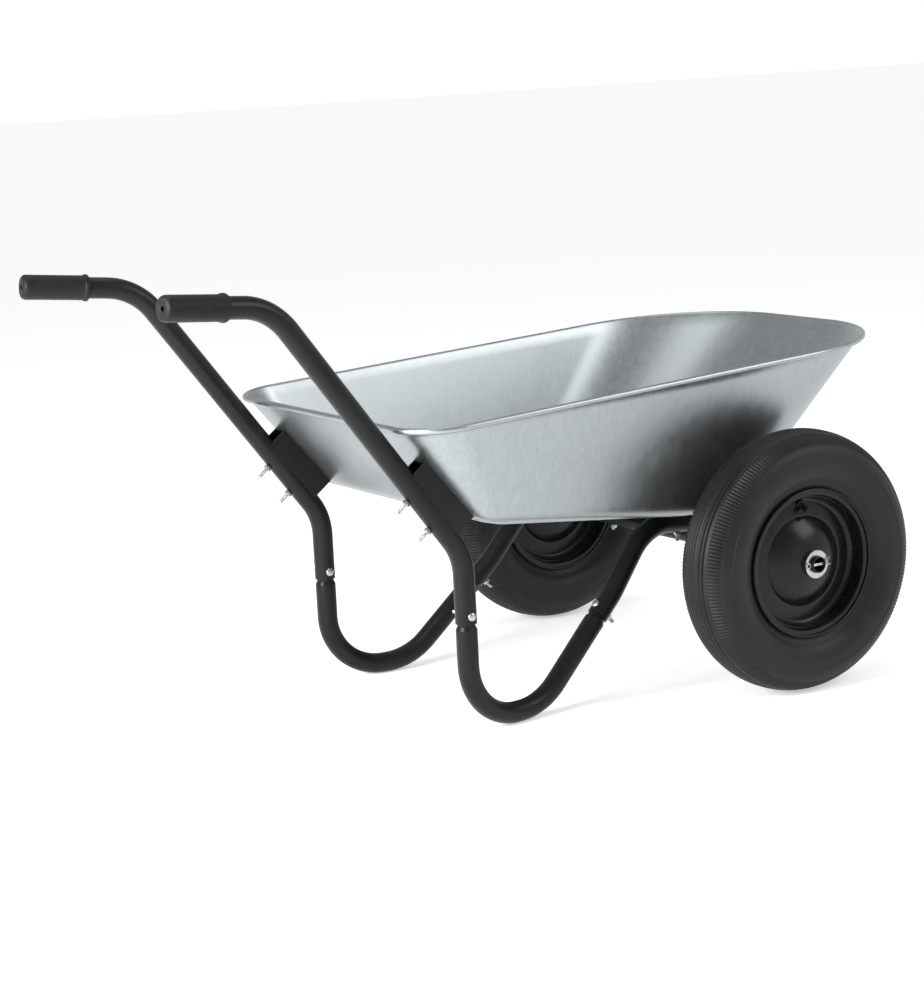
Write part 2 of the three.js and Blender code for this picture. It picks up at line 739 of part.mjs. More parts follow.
// Saddle between axle and rail, hollowed for both.
function axleSaddle(side, railBar) {
  const shape = new THREE.Shape();
  const upperFace = axleToRail - saddleUnderRail;
  shape.moveTo(-saddleLength / 2, saddleAboveAxle);
  shape.lineTo(saddleLength / 2, saddleAboveAxle);
  shape.lineTo(saddleLength / 2, upperFace);
  shape.lineTo(-saddleLength / 2, upperFace);
  const block = new THREE.ExtrudeGeometry(shape, { depth: saddleWidth, bevelEnabled: false });
  block.translate(0, 0, -saddleWidth / 2).rotateX(Math.PI / 2);
  block.rotateY(Math.asin(floorNormal.x));
  block.translate(0, side * frameHalfAt(0), axleHeight);
  const axleEnd = V(0, -axleHalf, axleHeight);
  const axleSpace = rod(axleEnd, alongY, holeFor(axleRadius, smallFacets), 2 * axleHalf, smallFacets);
  return toSolid(block).subtract(axleSpace).subtract(railBar).subtract(holeOf(axleBoltLine(side)));
}

function splitPin(side) {
  const start = V(-axleRadius - 2, side * (halfTrack + pinOffset), axleHeight);
  const length = 2 * axleRadius + 4;
  let pin = rod(start, V(1, 0, 0), pinRadius, length, boltFacets);
  const eye = turned(
    [
      [pinRadius * 1.4, -pinRadius * 0.8],
      [pinRadius * 3, -pinRadius * 0.8],
      [pinRadius * 3, pinRadius * 0.8],
      [pinRadius * 1.4, pinRadius * 0.8],
    ],
    boltFacets,
  );
  eye.translate(start.x - pinRadius * 2, start.y, start.z);
  pin = pin.add(toSolid(eye));
  for (const turn of [-1, 1]) {
    const angle = THREE.MathUtils.degToRad(turn * pinLegSplay);
    const root = step(start, V(1, 0, 0), length - pinRadius);
    pin = pin.add(rod(root, V(Math.cos(angle), 0, Math.sin(angle)), pinRadius * 0.8, pinLegLength, boltFacets));
  }
  return pin;
}

// ---------------------------------------------------------------- wheel
// Sheet of even thickness along a line of [radius, along] points.
function sheetProfile(line, thickness) {
  const points = line.map(([r, y]) => new THREE.Vector2(r, y));
  const normals = points.map((p, i) => {
    const before = p.clone().sub(points[Math.max(i - 1, 0)]).normalize();
    const after = points[Math.min(i + 1, points.length - 1)].clone().sub(p).normalize();
    const along = before.add(after).normalize();
    const here = Math.min(i, points.length - 2);
    const into = points[here + 1].clone().sub(points[here]).normalize();
    const mitre = Math.abs(along.dot(into)) || 1;
    return new THREE.Vector2(-along.y, along.x).multiplyScalar(thickness / 2 / mitre);
  });
  const oneFace = points.map((p, i) => p.clone().add(normals[i]));
  const otherFace = points.map((p, i) => p.clone().sub(normals[i])).reverse();
  return [...oneFace, ...otherFace].map((p) => [p.x, p.y]);
}

const seatOuter = flangeOffset - flangeLean - rimSheet / 2;
const seatAt = (offset) => seatRadius - (seatTaper * (seatOuter - offset)) / seatWidth;

// Flange, seat, well, and the same again on the other side.
function rimRing() {
  const half = [
    [flangeRadius, flangeOffset - rimSheet / 2],
    [seatRadius, seatOuter],
    [seatAt(seatOuter - seatWidth), seatOuter - seatWidth],
    [wellRadius, wellHalfWidth],
  ];
  const line = [...half, ...half.map(([r, y]) => [r, -y]).reverse()];
  return toSolid(turned(sheetProfile(line, rimSheet), rimFacets));
}

// Dished disc from the inside of the seat to the hub, with a domed middle.
function wheelDisc(facing) {
  const inSeat = (offset) => [seatAt(offset) - rimSheet - fit, offset];
  const line = [
    inSeat(flangeOffset - discEdgeInFlange),
    inSeat(seatOuter - seatWidth + discFoldInSeat),
    [wellRadius - discInWell, wellHalfWidth + discBesideWell],
    [domeRadius, domeFootOffset],
    [domeShoulderRadius, domeShoulderOffset],
    [holeFor(hubRadius + rimSheet / 2, rimFacets), hubHalfLength - domeInHub],
  ];
  return toSolid(turned(sheetProfile(line.map(([r, y]) => [r, facing * y]), rimSheet), rimFacets));
}

// Points of a squared ellipse from the crown towards the bead, as [radius, along].
function sectionArc(centre, halfHeight, halfWidth, degrees) {
  return degrees.map((d) => {
    const [s, c] = [Math.sin(THREE.MathUtils.degToRad(d)), Math.cos(THREE.MathUtils.degToRad(d))];
    const bulge = (value) => Math.sign(value) * Math.abs(value) ** (2 / tyreRoundness);
    return [centre + halfHeight * bulge(c), halfWidth * bulge(s)];
  });
}

function tyreGeometry() {
  const halfHeight = (tyreRadius - flangeRadius) / 2 + 1.5;
  const centre = tyreRadius - halfHeight;
  const beadFace = flangeOffset - flangeLean - rimSheet - 2 * fit;
  const beadBore = holeFor(seatRadius + rimSheet / 2, tyreFacets);
  const outer = sectionArc(centre, halfHeight, tyreWidth / 2, [30, 60, 90, 120]);
  const inner = sectionArc(centre, halfHeight - tyreWall, tyreWidth / 2 - tyreWall, [45, 90, 135]);
  const outside = [[tyreRadius, 0], ...outer, [flangeRadius + 3, beadFace], [beadBore, beadFace]];
  const inside = [[beadBore, beadFace - beadWidth], ...inner.reverse(), [tyreRadius - tyreWall, 0]];
  const half = [...outside, ...inside];
  const mirrored = half.slice(1, -1).reverse().map(([r, y]) => [r, -y]);
  return turned([...half, ...mirrored], tyreFacets);
}

const valveElbow = V(0, valveOffset, wellRadius - valveBelowWell);
const valveLeaning = V(0, 0, -1).applyAxisAngle(V(1, 0, 0), THREE.MathUtils.degToRad(valveLean));
const valveRun = (from, length) =>
  new BentRun([V(0, valveOffset, from), valveElbow, step(valveElbow, valveLeaning, length)], [valveBendRadius]);

function innerTube() {
  const low = seatRadius + rimSheet;
  const high = (tyreRadius - tyreWall) * Math.cos(Math.PI / tyreFacets) - 2 * fit;
  const section = (wall) => {
    const halfHeight = (high - low) / 2 - wall;
    const halfWidth = innerTubeWidth / 2 - wall;
    const points = [0, 60, 120, 180, 240, 300].map((d) => {
      const angle = THREE.MathUtils.degToRad(d);
      return [(high + low) / 2 + halfHeight * Math.cos(angle), halfWidth * Math.sin(angle)];
    });
    return toSolid(turned(points, innerTubeFacets));
  };
  const air = valveRun((high + low) / 2, valveStemLength + valveTipLength + 1);
  const tip = valveRun((high + low) / 2, valveStemLength + valveTipLength);
  const stem = valveRun((high + low) / 2, valveStemLength);
  return section(0)
    .add(toSolid(tubeAlong(stem, valveRadius)))
    .add(toSolid(tubeAlong(tip, valveTipRadius)))
    .subtract(section(innerTubeWall))
    .subtract(toSolid(tubeAlong(air, valveBore)));
}

function valveCap() {
  const bore = holeFor(valveTipRadius, boltFacets);
  const profile = [
    [0, valveTipLength + capWall],
    [bore + capWall, valveTipLength + capWall],
    [bore + capWall, fit],
    [bore, fit],
    [bore, valveTipLength + fit],
    [0, valveTipLength + fit],
  ];
  const shoulder = step(valveElbow, valveLeaning, valveStemLength);
  return turned(profile, boltFacets).applyMatrix4(layOn(shoulder, valveLeaning));
}

function bush(facing) {
  const bore = holeFor(axleRadius, smallFacets);
  const seat = hubHalfLength + fit;
  const profile = [
    [bore, seat + bushFlange],
    [hubRadius, seat + bushFlange],
    [hubRadius, seat],
    [bushRadius, seat],
    [bushRadius, seat - bushLength],
    [bore, seat - bushLength],
  ];
  return turned(profile.map(([r, y]) => [r, facing * y]), smallFacets);
}

// Made once about its own middle, outer side towards +Y; the right wheel is the same one turned round.
function wheel(label, side) {
  const group = new THREE.Group();
  group.position.set(0, side * halfTrack, axleHeight);
  group.rotation.z = side > 0 ? 0 : Math.PI;
  const wellHole = drill(V(0, valveOffset, wellRadius), V(0, 0, -1), valveRadius, rimSheet);
  const discHole = drill(valveElbow, valveLeaning, valveRadius, valveStemLength);
  add(`tyre_${label}`, tyreGeometry(), tyreRubber, group);
  add(`inner_tube_${label}`, innerTube(), tyreRubber, group);
  add(`valve_cap_${label}`, valveCap(), gripPlastic, group);
  add(`rim_${label}`, rimRing().subtract(wellHole), glossBlack, group);
  add(`wheel_disc_outer_${label}`, wheelDisc(1).subtract(discHole), glossBlack, group);
  add(`wheel_disc_inner_${label}`, wheelDisc(-1), glossBlack, group);
  const hubBore = holeFor(bushRadius, smallFacets);
  add(`hub_${label}`, ring(hubRadius, hubBore, -hubHalfLength, hubHalfLength, smallFacets), glossBlack, group);
  add(`bush_outer_${label}`, bush(1), nylon, group);
  add(`bush_inner_${label}`, bush(-1), nylon, group);
  model.add(group);
}

// ---------------------------------------------------------------- assembly
let tray = trayShell;
for (const [, side] of sides) {
  for (const index of [0, 1]) tray = tray.subtract(holeOf(bracketBoltLine(side, index)));
  tray = tray.subtract(holeOf(floorBoltLine(side)));
}
add("tray", tray, galvanised);

const hoop = hoopTube();
add("front_hoop", hoop.tube, blackPaint);
add("axle", axleTube(), blackPaint);

for (const [label, side] of sides) {
  add(`handle_tube_${label}`, handleTube(side), blackPaint);
  add(`leg_tube_${label}`, legTube(side), blackPaint);
  const { gripEnd, upper } = handleCorners(side);
  place(add(`grip_${label}`, gripGeometry(), gripPlastic), gripEnd, upper.clone().sub(gripEnd));
  add(`tray_bracket_${label}`, trayBracket(side), blackPaint);
  fasten("bracket_lower", label, bracketBoltLine(side, 0), bracketBoltTail);
  fasten("bracket_upper", label, bracketBoltLine(side, 1), bracketBoltTail);
  fasten("rear_joint", label, rearJointLine(side), jointBoltTail);
  fasten("front_joint", label, frontJointLine(side), jointBoltTail);
  fasten("floor", label, floorBoltLine(side), floorBoltTail);
  fasten("axle", label, axleBoltLine(side), axleBoltTail);
  add(`axle_saddle_${label}`, axleSaddle(side, hoop.solidBar), blackPaint);
  const washerRing = ring(washerRadius, holeFor(axleRadius, smallFacets), 0, washerThickness, smallFacets);
  const washer = add(`washer_${label}`, washerRing, zinc);
  place(washer, V(0, side * (halfTrack + hubEnd + fit), axleHeight), V(0, side, 0));
  add(`split_pin_${label}`, splitPin(side), zinc);
  wheel(label, side);
}

const whole = new THREE.Box3().setFromObject(model);
const middle = whole.getCenter(V(0, 0, 0));
model.position.set(-middle.x, -middle.y, -whole.min.z);
const part = new THREE.Group();
part.add(model);

export default part;
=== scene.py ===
# %% [markdown]
# A garden wheelbarrow: a deep pressed steel tray on a frame of bent black tube, with looped legs, plastic
# grips and two air-filled wheels on one axle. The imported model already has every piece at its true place,
# but with few faces. Each cell below takes one piece, makes it as smooth and as detailed as the real one,
# and gives it a finish worked out from noise and simple formulas, with no image files.

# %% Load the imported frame
import math
import bpy
import bmesh
import numpy as np
from mathutils import Matrix, Vector


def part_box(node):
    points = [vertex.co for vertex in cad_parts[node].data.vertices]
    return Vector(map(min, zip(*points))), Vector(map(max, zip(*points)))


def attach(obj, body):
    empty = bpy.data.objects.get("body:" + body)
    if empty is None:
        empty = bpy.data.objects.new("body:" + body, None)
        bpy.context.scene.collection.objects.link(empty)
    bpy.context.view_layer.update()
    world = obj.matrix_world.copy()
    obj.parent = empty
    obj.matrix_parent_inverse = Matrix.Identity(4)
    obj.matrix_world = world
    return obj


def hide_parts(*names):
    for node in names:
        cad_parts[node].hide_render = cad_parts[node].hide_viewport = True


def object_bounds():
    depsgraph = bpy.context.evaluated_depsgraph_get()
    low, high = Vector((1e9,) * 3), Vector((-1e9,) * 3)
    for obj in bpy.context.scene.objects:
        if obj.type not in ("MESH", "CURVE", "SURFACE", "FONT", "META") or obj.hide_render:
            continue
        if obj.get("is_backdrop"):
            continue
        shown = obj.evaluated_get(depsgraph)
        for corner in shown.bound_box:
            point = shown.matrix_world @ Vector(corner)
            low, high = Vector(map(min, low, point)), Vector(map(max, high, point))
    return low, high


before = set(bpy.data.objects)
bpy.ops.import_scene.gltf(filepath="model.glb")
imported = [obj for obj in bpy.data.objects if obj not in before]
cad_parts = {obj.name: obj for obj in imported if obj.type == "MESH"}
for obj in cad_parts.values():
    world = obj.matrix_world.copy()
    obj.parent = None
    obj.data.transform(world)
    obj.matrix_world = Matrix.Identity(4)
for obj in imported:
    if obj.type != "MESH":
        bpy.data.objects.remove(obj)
cad_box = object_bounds()

# %% [markdown]
# All sizes below are millimetres measured from the middle of the axle, because a maker of wheelbarrows
# measures from there too: X runs forward to the nose, Y to the left, Z up. One function turns such points
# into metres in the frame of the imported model, where the axle's own box says where its middle is.

# %% Millimetres from the axle to metres in the frame
MM = 0.001
axle_low, axle_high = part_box("axle")
AXLE_MIDDLE = np.array((axle_low + axle_high) / 2)
SIDES = (("left", 1), ("right", -1))
FIT = 0.3
AXLE_HEIGHT = 200.0
UP = np.array((0.0, 0.0, 1.0))
LEFTWARD = np.array((0.0, 1.0, 0.0))


def unit(v):
    return np.asarray(v, float) / np.linalg.norm(v)


def smoothstep(low, high, x):
    t = np.clip((np.asarray(x, float) - low) / (high - low), 0, 1)
    return t * t * (3 - 2 * t)


print("middle of the axle, metres:", AXLE_MIDDLE.round(4))

# %% [markdown]
# Nearly every piece of a wheelbarrow is a skin over a grid of points: rings along a tube, a profile turned
# round an axis, a sheet pressed to a plan. So one helper makes a mesh from a grid, closes it the way it is
# asked to, shades it smooth and keeps an edge sharp wherever two faces meet at a clear angle.

# %% A skin over a grid of points
SHARP_ANGLE = math.radians(32)


def skin(name, grid, closed_along=False, body="barrow", sharp=SHARP_ANGLE):
    """Mesh over rows of points, each row a closed ring. The rows join end to end, or end in two caps."""
    grid = np.asarray(grid, float)
    rows, ring = grid.shape[:2]
    index = np.arange(rows * ring).reshape(rows, ring)
    lower = index if closed_along else index[:-1]
    upper = np.roll(index, -1, axis=0) if closed_along else index[1:]
    across = lambda a: np.roll(a, -1, axis=1)
    quads = np.stack([lower, across(lower), across(upper), upper], axis=-1).reshape(-1, 4)
    faces = quads.tolist()
    if not closed_along:
        faces += [index[0][::-1].tolist(), index[-1].tolist()]
    mesh = bpy.data.meshes.new(name)
    mesh.from_pydata((grid.reshape(-1, 3) * MM + AXLE_MIDDLE).tolist(), [], faces)
    work = bmesh.new()
    work.from_mesh(mesh)
    bmesh.ops.remove_doubles(work, verts=work.verts, dist=1e-6)
    bmesh.ops.recalc_face_normals(work, faces=work.faces)
    work.to_mesh(mesh)
    work.free()
    mesh.shade_smooth()
    mesh.set_sharp_from_angle(angle=sharp)
    piece = bpy.data.objects.new(name, mesh)
    bpy.context.scene.collection.objects.link(piece)
    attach(piece, body)
    return piece


def finish_piece(piece, finish, slot, *nodes):
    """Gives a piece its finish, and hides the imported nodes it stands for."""
    piece.data.materials.clear()
    piece.data.materials.append(finish.material)
    if nodes:
        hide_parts(*nodes)
    return piece


# %% [markdown]
# A turned piece is a profile swung round an axis, as on a lathe. The profile is a list of pairs: distance
# from the axis, and distance along it. Real edges are never knife sharp, so another helper rounds the
# corners of a profile first: those small radii catch the light and make a piece look solid.

# %% Turned pieces with rounded corners
def rounded(profile, radius, steps=4):
    """The closed profile with each corner replaced by a small arc-like curve."""
    points = [np.array(p, float) for p in profile]
    result = []
    for i, corner in enumerate(points):
        before, after = points[i - 1], points[(i + 1) % len(points)]
        if corner[0] <= 0:
            result.append(corner)
            continue
        reach_in = min(radius, np.linalg.norm(before - corner) * 0.45)
        reach_out = min(radius, np.linalg.norm(after - corner) * 0.45)
        start = corner + unit(before - corner) * reach_in
        end = corner + unit(after - corner) * reach_out
        for t in np.linspace(0, 1, steps):
            result.append((1 - t) ** 2 * start + 2 * t * (1 - t) * corner + t**2 * end)
    return result


def axes_about(direction):
    along = unit(direction)
    helper = UP if abs(along[2]) < 0.9 else np.array((1.0, 0.0, 0.0))
    side = unit(np.cross(along, helper))
    return along, side, np.cross(along, side)


def turned_grid(profile, origin, direction, around=64):
    along, side, other = axes_about(direction)
    angles = np.linspace(0, 2 * math.pi, around, endpoint=False)
    circle = np.outer(np.cos(angles), side) + np.outer(np.sin(angles), other)
    return np.array([np.asarray(origin) + along * y + circle * max(r, 1e-4) for r, y in profile])


def turned(name, profile, origin, direction, around=64, body="barrow", sharp=SHARP_ANGLE):
    on_axis = profile[0][0] <= 0 and profile[-1][0] <= 0
    grid = turned_grid(profile, origin, direction, around)
    return skin(name, grid, closed_along=not on_axis, body=body, sharp=sharp)


# %% [markdown]
# A bent tube is a straight tube pushed round formers, so its middle line is made of straight runs and
# circular arcs. The helper walks that line and carries a ring of points along it without twisting.

# %% Bent tubes
BEND_STEP = math.radians(4)


def bent_run(corners, radii):
    """Points and directions along straight runs whose corners are bent to the radii given."""
    corners = [np.array(c, float) for c in corners]
    heads = [unit(b - a) for a, b in zip(corners, corners[1:])]
    points, directions = [corners[0]], [heads[0]]
    for corner, into, out, radius in zip(corners[1:-1], heads, heads[1:], radii):
        turn = math.acos(min(1.0, float(into @ out)))
        if radius == 0 or turn < 1e-4:
            points.append(corner)
            directions.append(into)
            continue
        start = corner - into * radius * math.tan(turn / 2)
        inward = unit(out - into * (into @ out))
        for angle in np.linspace(0, turn, max(2, math.ceil(turn / BEND_STEP)) + 1):
            points.append(start + into * radius * math.sin(angle) + inward * radius * (1 - math.cos(angle)))
            directions.append(into * math.cos(angle) + inward * math.sin(angle))
    points.append(corners[-1])
    directions.append(heads[-1])
    return np.array(points), np.array(directions)


def tube_grid(run, radius, around=32):
    """Rings of points round a run; the radius may be one number or one for each point of the run."""
    points, directions = run
    radii = np.broadcast_to(radius, len(points))
    side = axes_about(directions[0])[1]
    angles = np.linspace(0, 2 * math.pi, around, endpoint=False)
    rings = []
    for point, along, r in zip(points, directions, radii):
        side = unit(side - along * (side @ along))
        other = np.cross(along, side)
        rings.append(point + r * (np.outer(np.cos(angles), side) + np.outer(np.sin(angles), other)))
    return np.array(rings)


def tube(name, run, outer, wall, around=32):
    outside = tube_grid(run, outer, around)
    inside = tube_grid(run, np.asarray(outer) - wall, around)[::-1]
    return skin(name, np.concatenate([outside, inside]), closed_along=True)


def wire(name, run, radius, around=12, body="barrow"):
    return skin(name, tube_grid(run, radius, around), body=body)


# %% [markdown]
# Finishes come next. A finish is a tree of shader nodes, and it reads best as arithmetic: noise times
# something plus something else. A small class wraps one socket of such a tree so that +, -, * and / each
# add a Math node, and another class holds the material and makes every other kind of node.

# %% Shader maths as Python
class Field:
    """A value that changes over a surface: one socket of a finish's node tree."""

    def __init__(self, finish, socket):
        self.finish = finish
        self.socket = socket

    def _math(self, operation, *values):
        return self.finish.node("ShaderNodeMath", {"operation": operation}, list(values))

    def __add__(self, other):
        return self._math("ADD", self, other)

    def __sub__(self, other):
        return self._math("SUBTRACT", self, other)

    def __rsub__(self, other):
        return self._math("SUBTRACT", other, self)

    def __mul__(self, other):
        return self._math("MULTIPLY", self, other)

    def __truediv__(self, other):
        return self._math("DIVIDE", self, other)

    def __pow__(self, other):
        return self._math("POWER", self, other)

    __radd__ = __add__
    __rmul__ = __mul__

    def rises(self, low, high):
        """0 below low, 1 above high, and a smooth rise between them."""
        sockets = {"Value": self, "From Min": low, "From Max": high}
        return self.finish.node("ShaderNodeMapRange", {"interpolation_type": "SMOOTHSTEP"}, sockets)


class Finish:
    """A material: a Principled shader, and the nodes that feed it."""

    def __init__(self, name, **constants):
        self.material = bpy.data.materials.new(name)
        self.material.use_nodes = True
        self.nodes = self.material.node_tree.nodes
        self.links = self.material.node_tree.links
        self.shader = self.nodes["Principled BSDF"]
        for socket, value in constants.items():
            self.shader.inputs[socket.replace("_", " ")].default_value = value

    def node(self, kind, settings, inputs, output=0):
        """Adds a node: its settings first, then its sockets by place or by name."""
        made = self.nodes.new(kind)
        for key, value in settings.items():
            setattr(made, key, value)
        named = inputs.items() if isinstance(inputs, dict) else enumerate(inputs)
        for key, value in named:
            if isinstance(value, Field):
                self.links.new(value.socket, made.inputs[key])
            else:
                made.inputs[key].default_value = value
        return Field(self, made.outputs[output])

    def place(self):
        """Position on the piece, in metres."""
        return self.node("ShaderNodeTexCoord", {}, {}, "Object")

    def stretched(self, x, y, z):
        """Position with each direction drawn out or squeezed."""
        return self.node("ShaderNodeMapping", {}, {"Vector": self.place(), "Scale": (x, y, z)})

    def noise(self, scale, detail=3.0, where=None, roughness=0.5):
        inputs = {"Vector": where or self.place(), "Scale": scale, "Detail": detail, "Roughness": roughness}
        return self.node("ShaderNodeTexNoise", {}, inputs)

    def cells(self, scale, where=None):
        """A different random value in each cell of a Voronoi pattern, as grey."""
        sockets = {"Vector": where or self.place(), "Scale": scale}
        colour = self.node("ShaderNodeTexVoronoi", {}, sockets, "Color")
        return self.node("ShaderNodeSeparateColor", {}, [colour])

    def blend(self, factor, first, second):
        """A colour between two colours. Sockets 6 and 7 are the Mix node's colours, output 2 its colour."""
        settings = {"data_type": "RGBA", "clamp_factor": True}
        sockets = {0: factor, 6: (*first, 1.0), 7: (*second, 1.0)}
        return self.node("ShaderNodeMix", settings, sockets, 2)

    def tint(self, factor, first, second):
        """Colours the surface between two colours."""
        self.feed("Base Color", self.blend(factor, first, second))

    def feed(self, socket, field):
        self.links.new(field.socket, self.shader.inputs[socket])

    def bump(self, height, distance, strength=1.0):
        """Small relief: height is 0 to 1, and distance is how many metres that 1 stands for."""
        inputs = {"Height": height, "Distance": distance, "Strength": strength}
        self.feed("Normal", self.node("ShaderNodeBump", {}, inputs))


# %% [markdown]
# The tray is hot-dip galvanised sheet. Its zinc has a faint crystal pattern, rolling left fine upright
# streaks, and handling leaves soft patches where it shines less. Three layers of noise do this: cells for
# the crystals, noise drawn out upright for the streaks, and slow noise for the patches.

# %% Galvanised sheet
def galvanised_sheet():
    finish = Finish("galvanised_sheet", Metallic=1.0)
    streaks = finish.noise(40.0, 4.0, finish.stretched(5.0, 5.0, 0.3))
    crystals = finish.cells(95.0, finish.stretched(1.0, 1.0, 0.6))
    patches = finish.noise(3.5, 2.0)
    shade = streaks * 0.5 + crystals * 0.12 + patches * 0.38
    finish.tint(shade.rises(0.25, 0.75), (0.30, 0.325, 0.335), (0.37, 0.395, 0.405))
    finish.feed("Roughness", streaks * 0.12 + patches * 0.1 + crystals * 0.03 + 0.24)
    grain = finish.noise(900.0, 2.0, finish.stretched(1.0, 1.0, 0.08))
    finish.bump(streaks * 0.6 + grain * 0.3 + crystals * 0.1, 0.00012, 0.3)
    return finish


# %% [markdown]
# The frame is powder coated. Powder melts into a skin with an even, slightly pebbled surface, like the
# peel of an orange, and it is duller where dust has settled. The relief is far below a millimetre.

# %% Black powder coat
def powder_coat():
    finish = Finish("black_powder_coat", Metallic=0.0, Specular_IOR_Level=0.2)
    peel = finish.noise(650.0, 2.0)
    dust = finish.noise(14.0, 4.0)
    scuffs = finish.noise(120.0, 5.0, finish.stretched(1.0, 1.0, 3.0)).rises(0.66, 0.8)
    finish.tint(dust.rises(0.3, 0.8), (0.0045, 0.0045, 0.0048), (0.008, 0.008, 0.0084))
    finish.feed("Roughness", dust * 0.12 + scuffs * 0.1 + 0.27)
    finish.bump(peel, 0.00022, 0.3)
    return finish


# %% [markdown]
# The rims are sprayed with gloss paint: smoother than powder, with only a slow ripple in the lacquer and a
# thin coat on top that sharpens the highlights. Fine dust gathers in the dish and softens them again.

# %% Gloss black paint
def rim_paint():
    finish = Finish("gloss_black_paint", Specular_IOR_Level=0.22, Coat_Weight=0.05, Coat_Roughness=0.15)
    ripple = finish.noise(160.0, 1.0)
    dust = finish.noise(40.0, 5.0)
    finish.tint(dust.rises(0.35, 0.8), (0.004, 0.004, 0.0043), (0.008, 0.008, 0.0084))
    finish.feed("Roughness", dust * 0.16 + 0.2)
    finish.bump(ripple, 0.0003, 0.22)
    return finish


# %% [markdown]
# Tyre rubber is dull and a little uneven: the mould leaves a fine grain, and wax in the rubber blooms to
# the surface in soft grey clouds. The tread's ribs are real shape, made further down.

# %% Tyre rubber
def tyre_rubber():
    finish = Finish("tyre_rubber", Specular_IOR_Level=0.25)
    bloom = finish.noise(18.0, 5.0)
    grain = finish.noise(1100.0, 3.0)
    finish.tint(bloom.rises(0.3, 0.75), (0.006, 0.006, 0.006), (0.0115, 0.0113, 0.011))
    finish.feed("Roughness", bloom * 0.18 + grain * 0.06 + 0.36)
    finish.bump(grain * 0.7 + bloom * 0.3, 0.0003, 0.35)
    return finish


# %% [markdown]
# The grips are moulded in soft plastic with a leathery grain that keeps a wet hand from sliding.

# %% Grip plastic
def grip_plastic():
    finish = Finish("grip_plastic", Specular_IOR_Level=0.22)
    sockets = {"Vector": finish.place(), "Scale": 750.0}
    pebbles = finish.node("ShaderNodeTexVoronoi", {"feature": "F1"}, sockets)
    rubbed = finish.noise(30.0, 3.0)
    finish.tint(rubbed.rises(0.3, 0.8), (0.004, 0.004, 0.004), (0.0075, 0.0075, 0.0075))
    finish.feed("Roughness", rubbed * 0.15 + 0.42)
    finish.bump(pebbles, 0.0004, 0.45)
    return finish


# %% [markdown]
# Bolts, nuts and washers are zinc plated. Plating shines but is never a mirror: it is a middle grey with
# faint warm clouds, fine tool marks, and a duller skin where it was tumbled with the others.

# %% Zinc plating
def zinc_plate():
    finish = Finish("zinc_plate", Metallic=1.0)
    clouds = finish.noise(140.0, 3.0)
    marks = finish.noise(1400.0, 2.0)
    finish.tint(clouds.rises(0.3, 0.7), (0.36, 0.38, 0.4), (0.48, 0.475, 0.44))
    finish.feed("Roughness", clouds * 0.14 + marks * 0.08 + 0.16)
    finish.bump(marks, 0.00008, 0.3)
    return finish


# %% [markdown]
# Two more finishes are seldom seen but have to be right when someone looks from below or behind: the
# off-white nylon of the wheel bushes and the butyl rubber of the inner tubes.

# %% Nylon and butyl rubber
def nylon():
    finish = Finish("nylon", Specular_IOR_Level=0.45)
    grease = finish.noise(220.0, 4.0)
    finish.tint(grease.rises(0.4, 0.75), (0.68, 0.66, 0.6), (0.42, 0.39, 0.33))
    finish.feed("Roughness", grease * 0.2 + 0.35)
    finish.bump(grease, 0.0001, 0.3)
    return finish


def butyl_rubber():
    finish = Finish("butyl_rubber", Specular_IOR_Level=0.3)
    talc = finish.noise(90.0, 5.0)
    finish.tint(talc.rises(0.45, 0.8), (0.009, 0.009, 0.009), (0.03, 0.03, 0.03))
    finish.feed("Roughness", talc * 0.2 + 0.6)
    finish.bump(talc, 0.0001, 0.4)
    return finish


GALVANISED = galvanised_sheet()
POWDER = powder_coat()
GLOSS = rim_paint()
RUBBER = tyre_rubber()
GRIP = grip_plastic()
ZINC = zinc_plate()
NYLON = nylon()
BUTYL = butyl_rubber()
print("finishes:", len(bpy.data.materials))

# %% [markdown]
# Now the layout. The frame and the tray lean on each other, so their few driving lines come first: the
# corners of the handle tube, the slope of the rear wall that the brackets set, the floor and the rim.

# %% Lines that the frame and the tray share
TUBE = 16.0
TUBE_WALL = 1.5
FLOOR_WIDTH, FLOOR_LENGTH = 480.0, 524.0
RIM_WIDTH, RIM_LENGTH = 596.0, 930.0
HANDLE_HALF = FLOOR_WIDTH / 2 - 32
HANDLE_X = -517.5
SOCKET_MOUTH_Z = -32.0
TOE_IN = 0.1356


def handle_corners(side):
    return (
        np.array((-979.0, side * (HANDLE_HALF + 28), 475.0)),
        np.array((-807.0, side * (HANDLE_HALF + 4), 458.0)),
        np.array((HANDLE_X, side * HANDLE_HALF, 69.0)),
        np.array((HANDLE_X, side * HANDLE_HALF, SOCKET_MOUTH_Z)),
    )


def frame_half_at(x):
    return HANDLE_HALF - TOE_IN * (x - HANDLE_X)


SLOPE_FOOT = np.array((HANDLE_X, 0.0, 69.0))
SLOPE_UP = unit((-807.0 - HANDLE_X, 0.0, 458.0 - 69.0))
SLOPE_TO_TRAY = np.array((SLOPE_UP[2], 0.0, -SLOPE_UP[0]))
BRACKET_START, BRACKET_LENGTH = 38.0, 118.0


def on_slope(along, out):
    return SLOPE_FOOT + SLOPE_UP * along + SLOPE_TO_TRAY * out


WALL_LOW = on_slope(BRACKET_START, TUBE + 26.5)
WALL_HIGH = on_slope(BRACKET_START + BRACKET_LENGTH, TUBE + 21)
WALL_UP = unit(WALL_HIGH - WALL_LOW)
WALL_OUT = np.array((-WALL_UP[2], 0.0, WALL_UP[0]))
FLOOR_SLOPE, RIM_SLOPE = -0.113, 0.0502
BEAD = 4.75
WALL_TOP_INSET, WALL_TOP_DROP = 10.0, 3.0


def floor_height(x):
    return 58.0 + FLOOR_SLOPE * x


def wall_top_height(x):
    return 297.5 - WALL_TOP_DROP + RIM_SLOPE * x


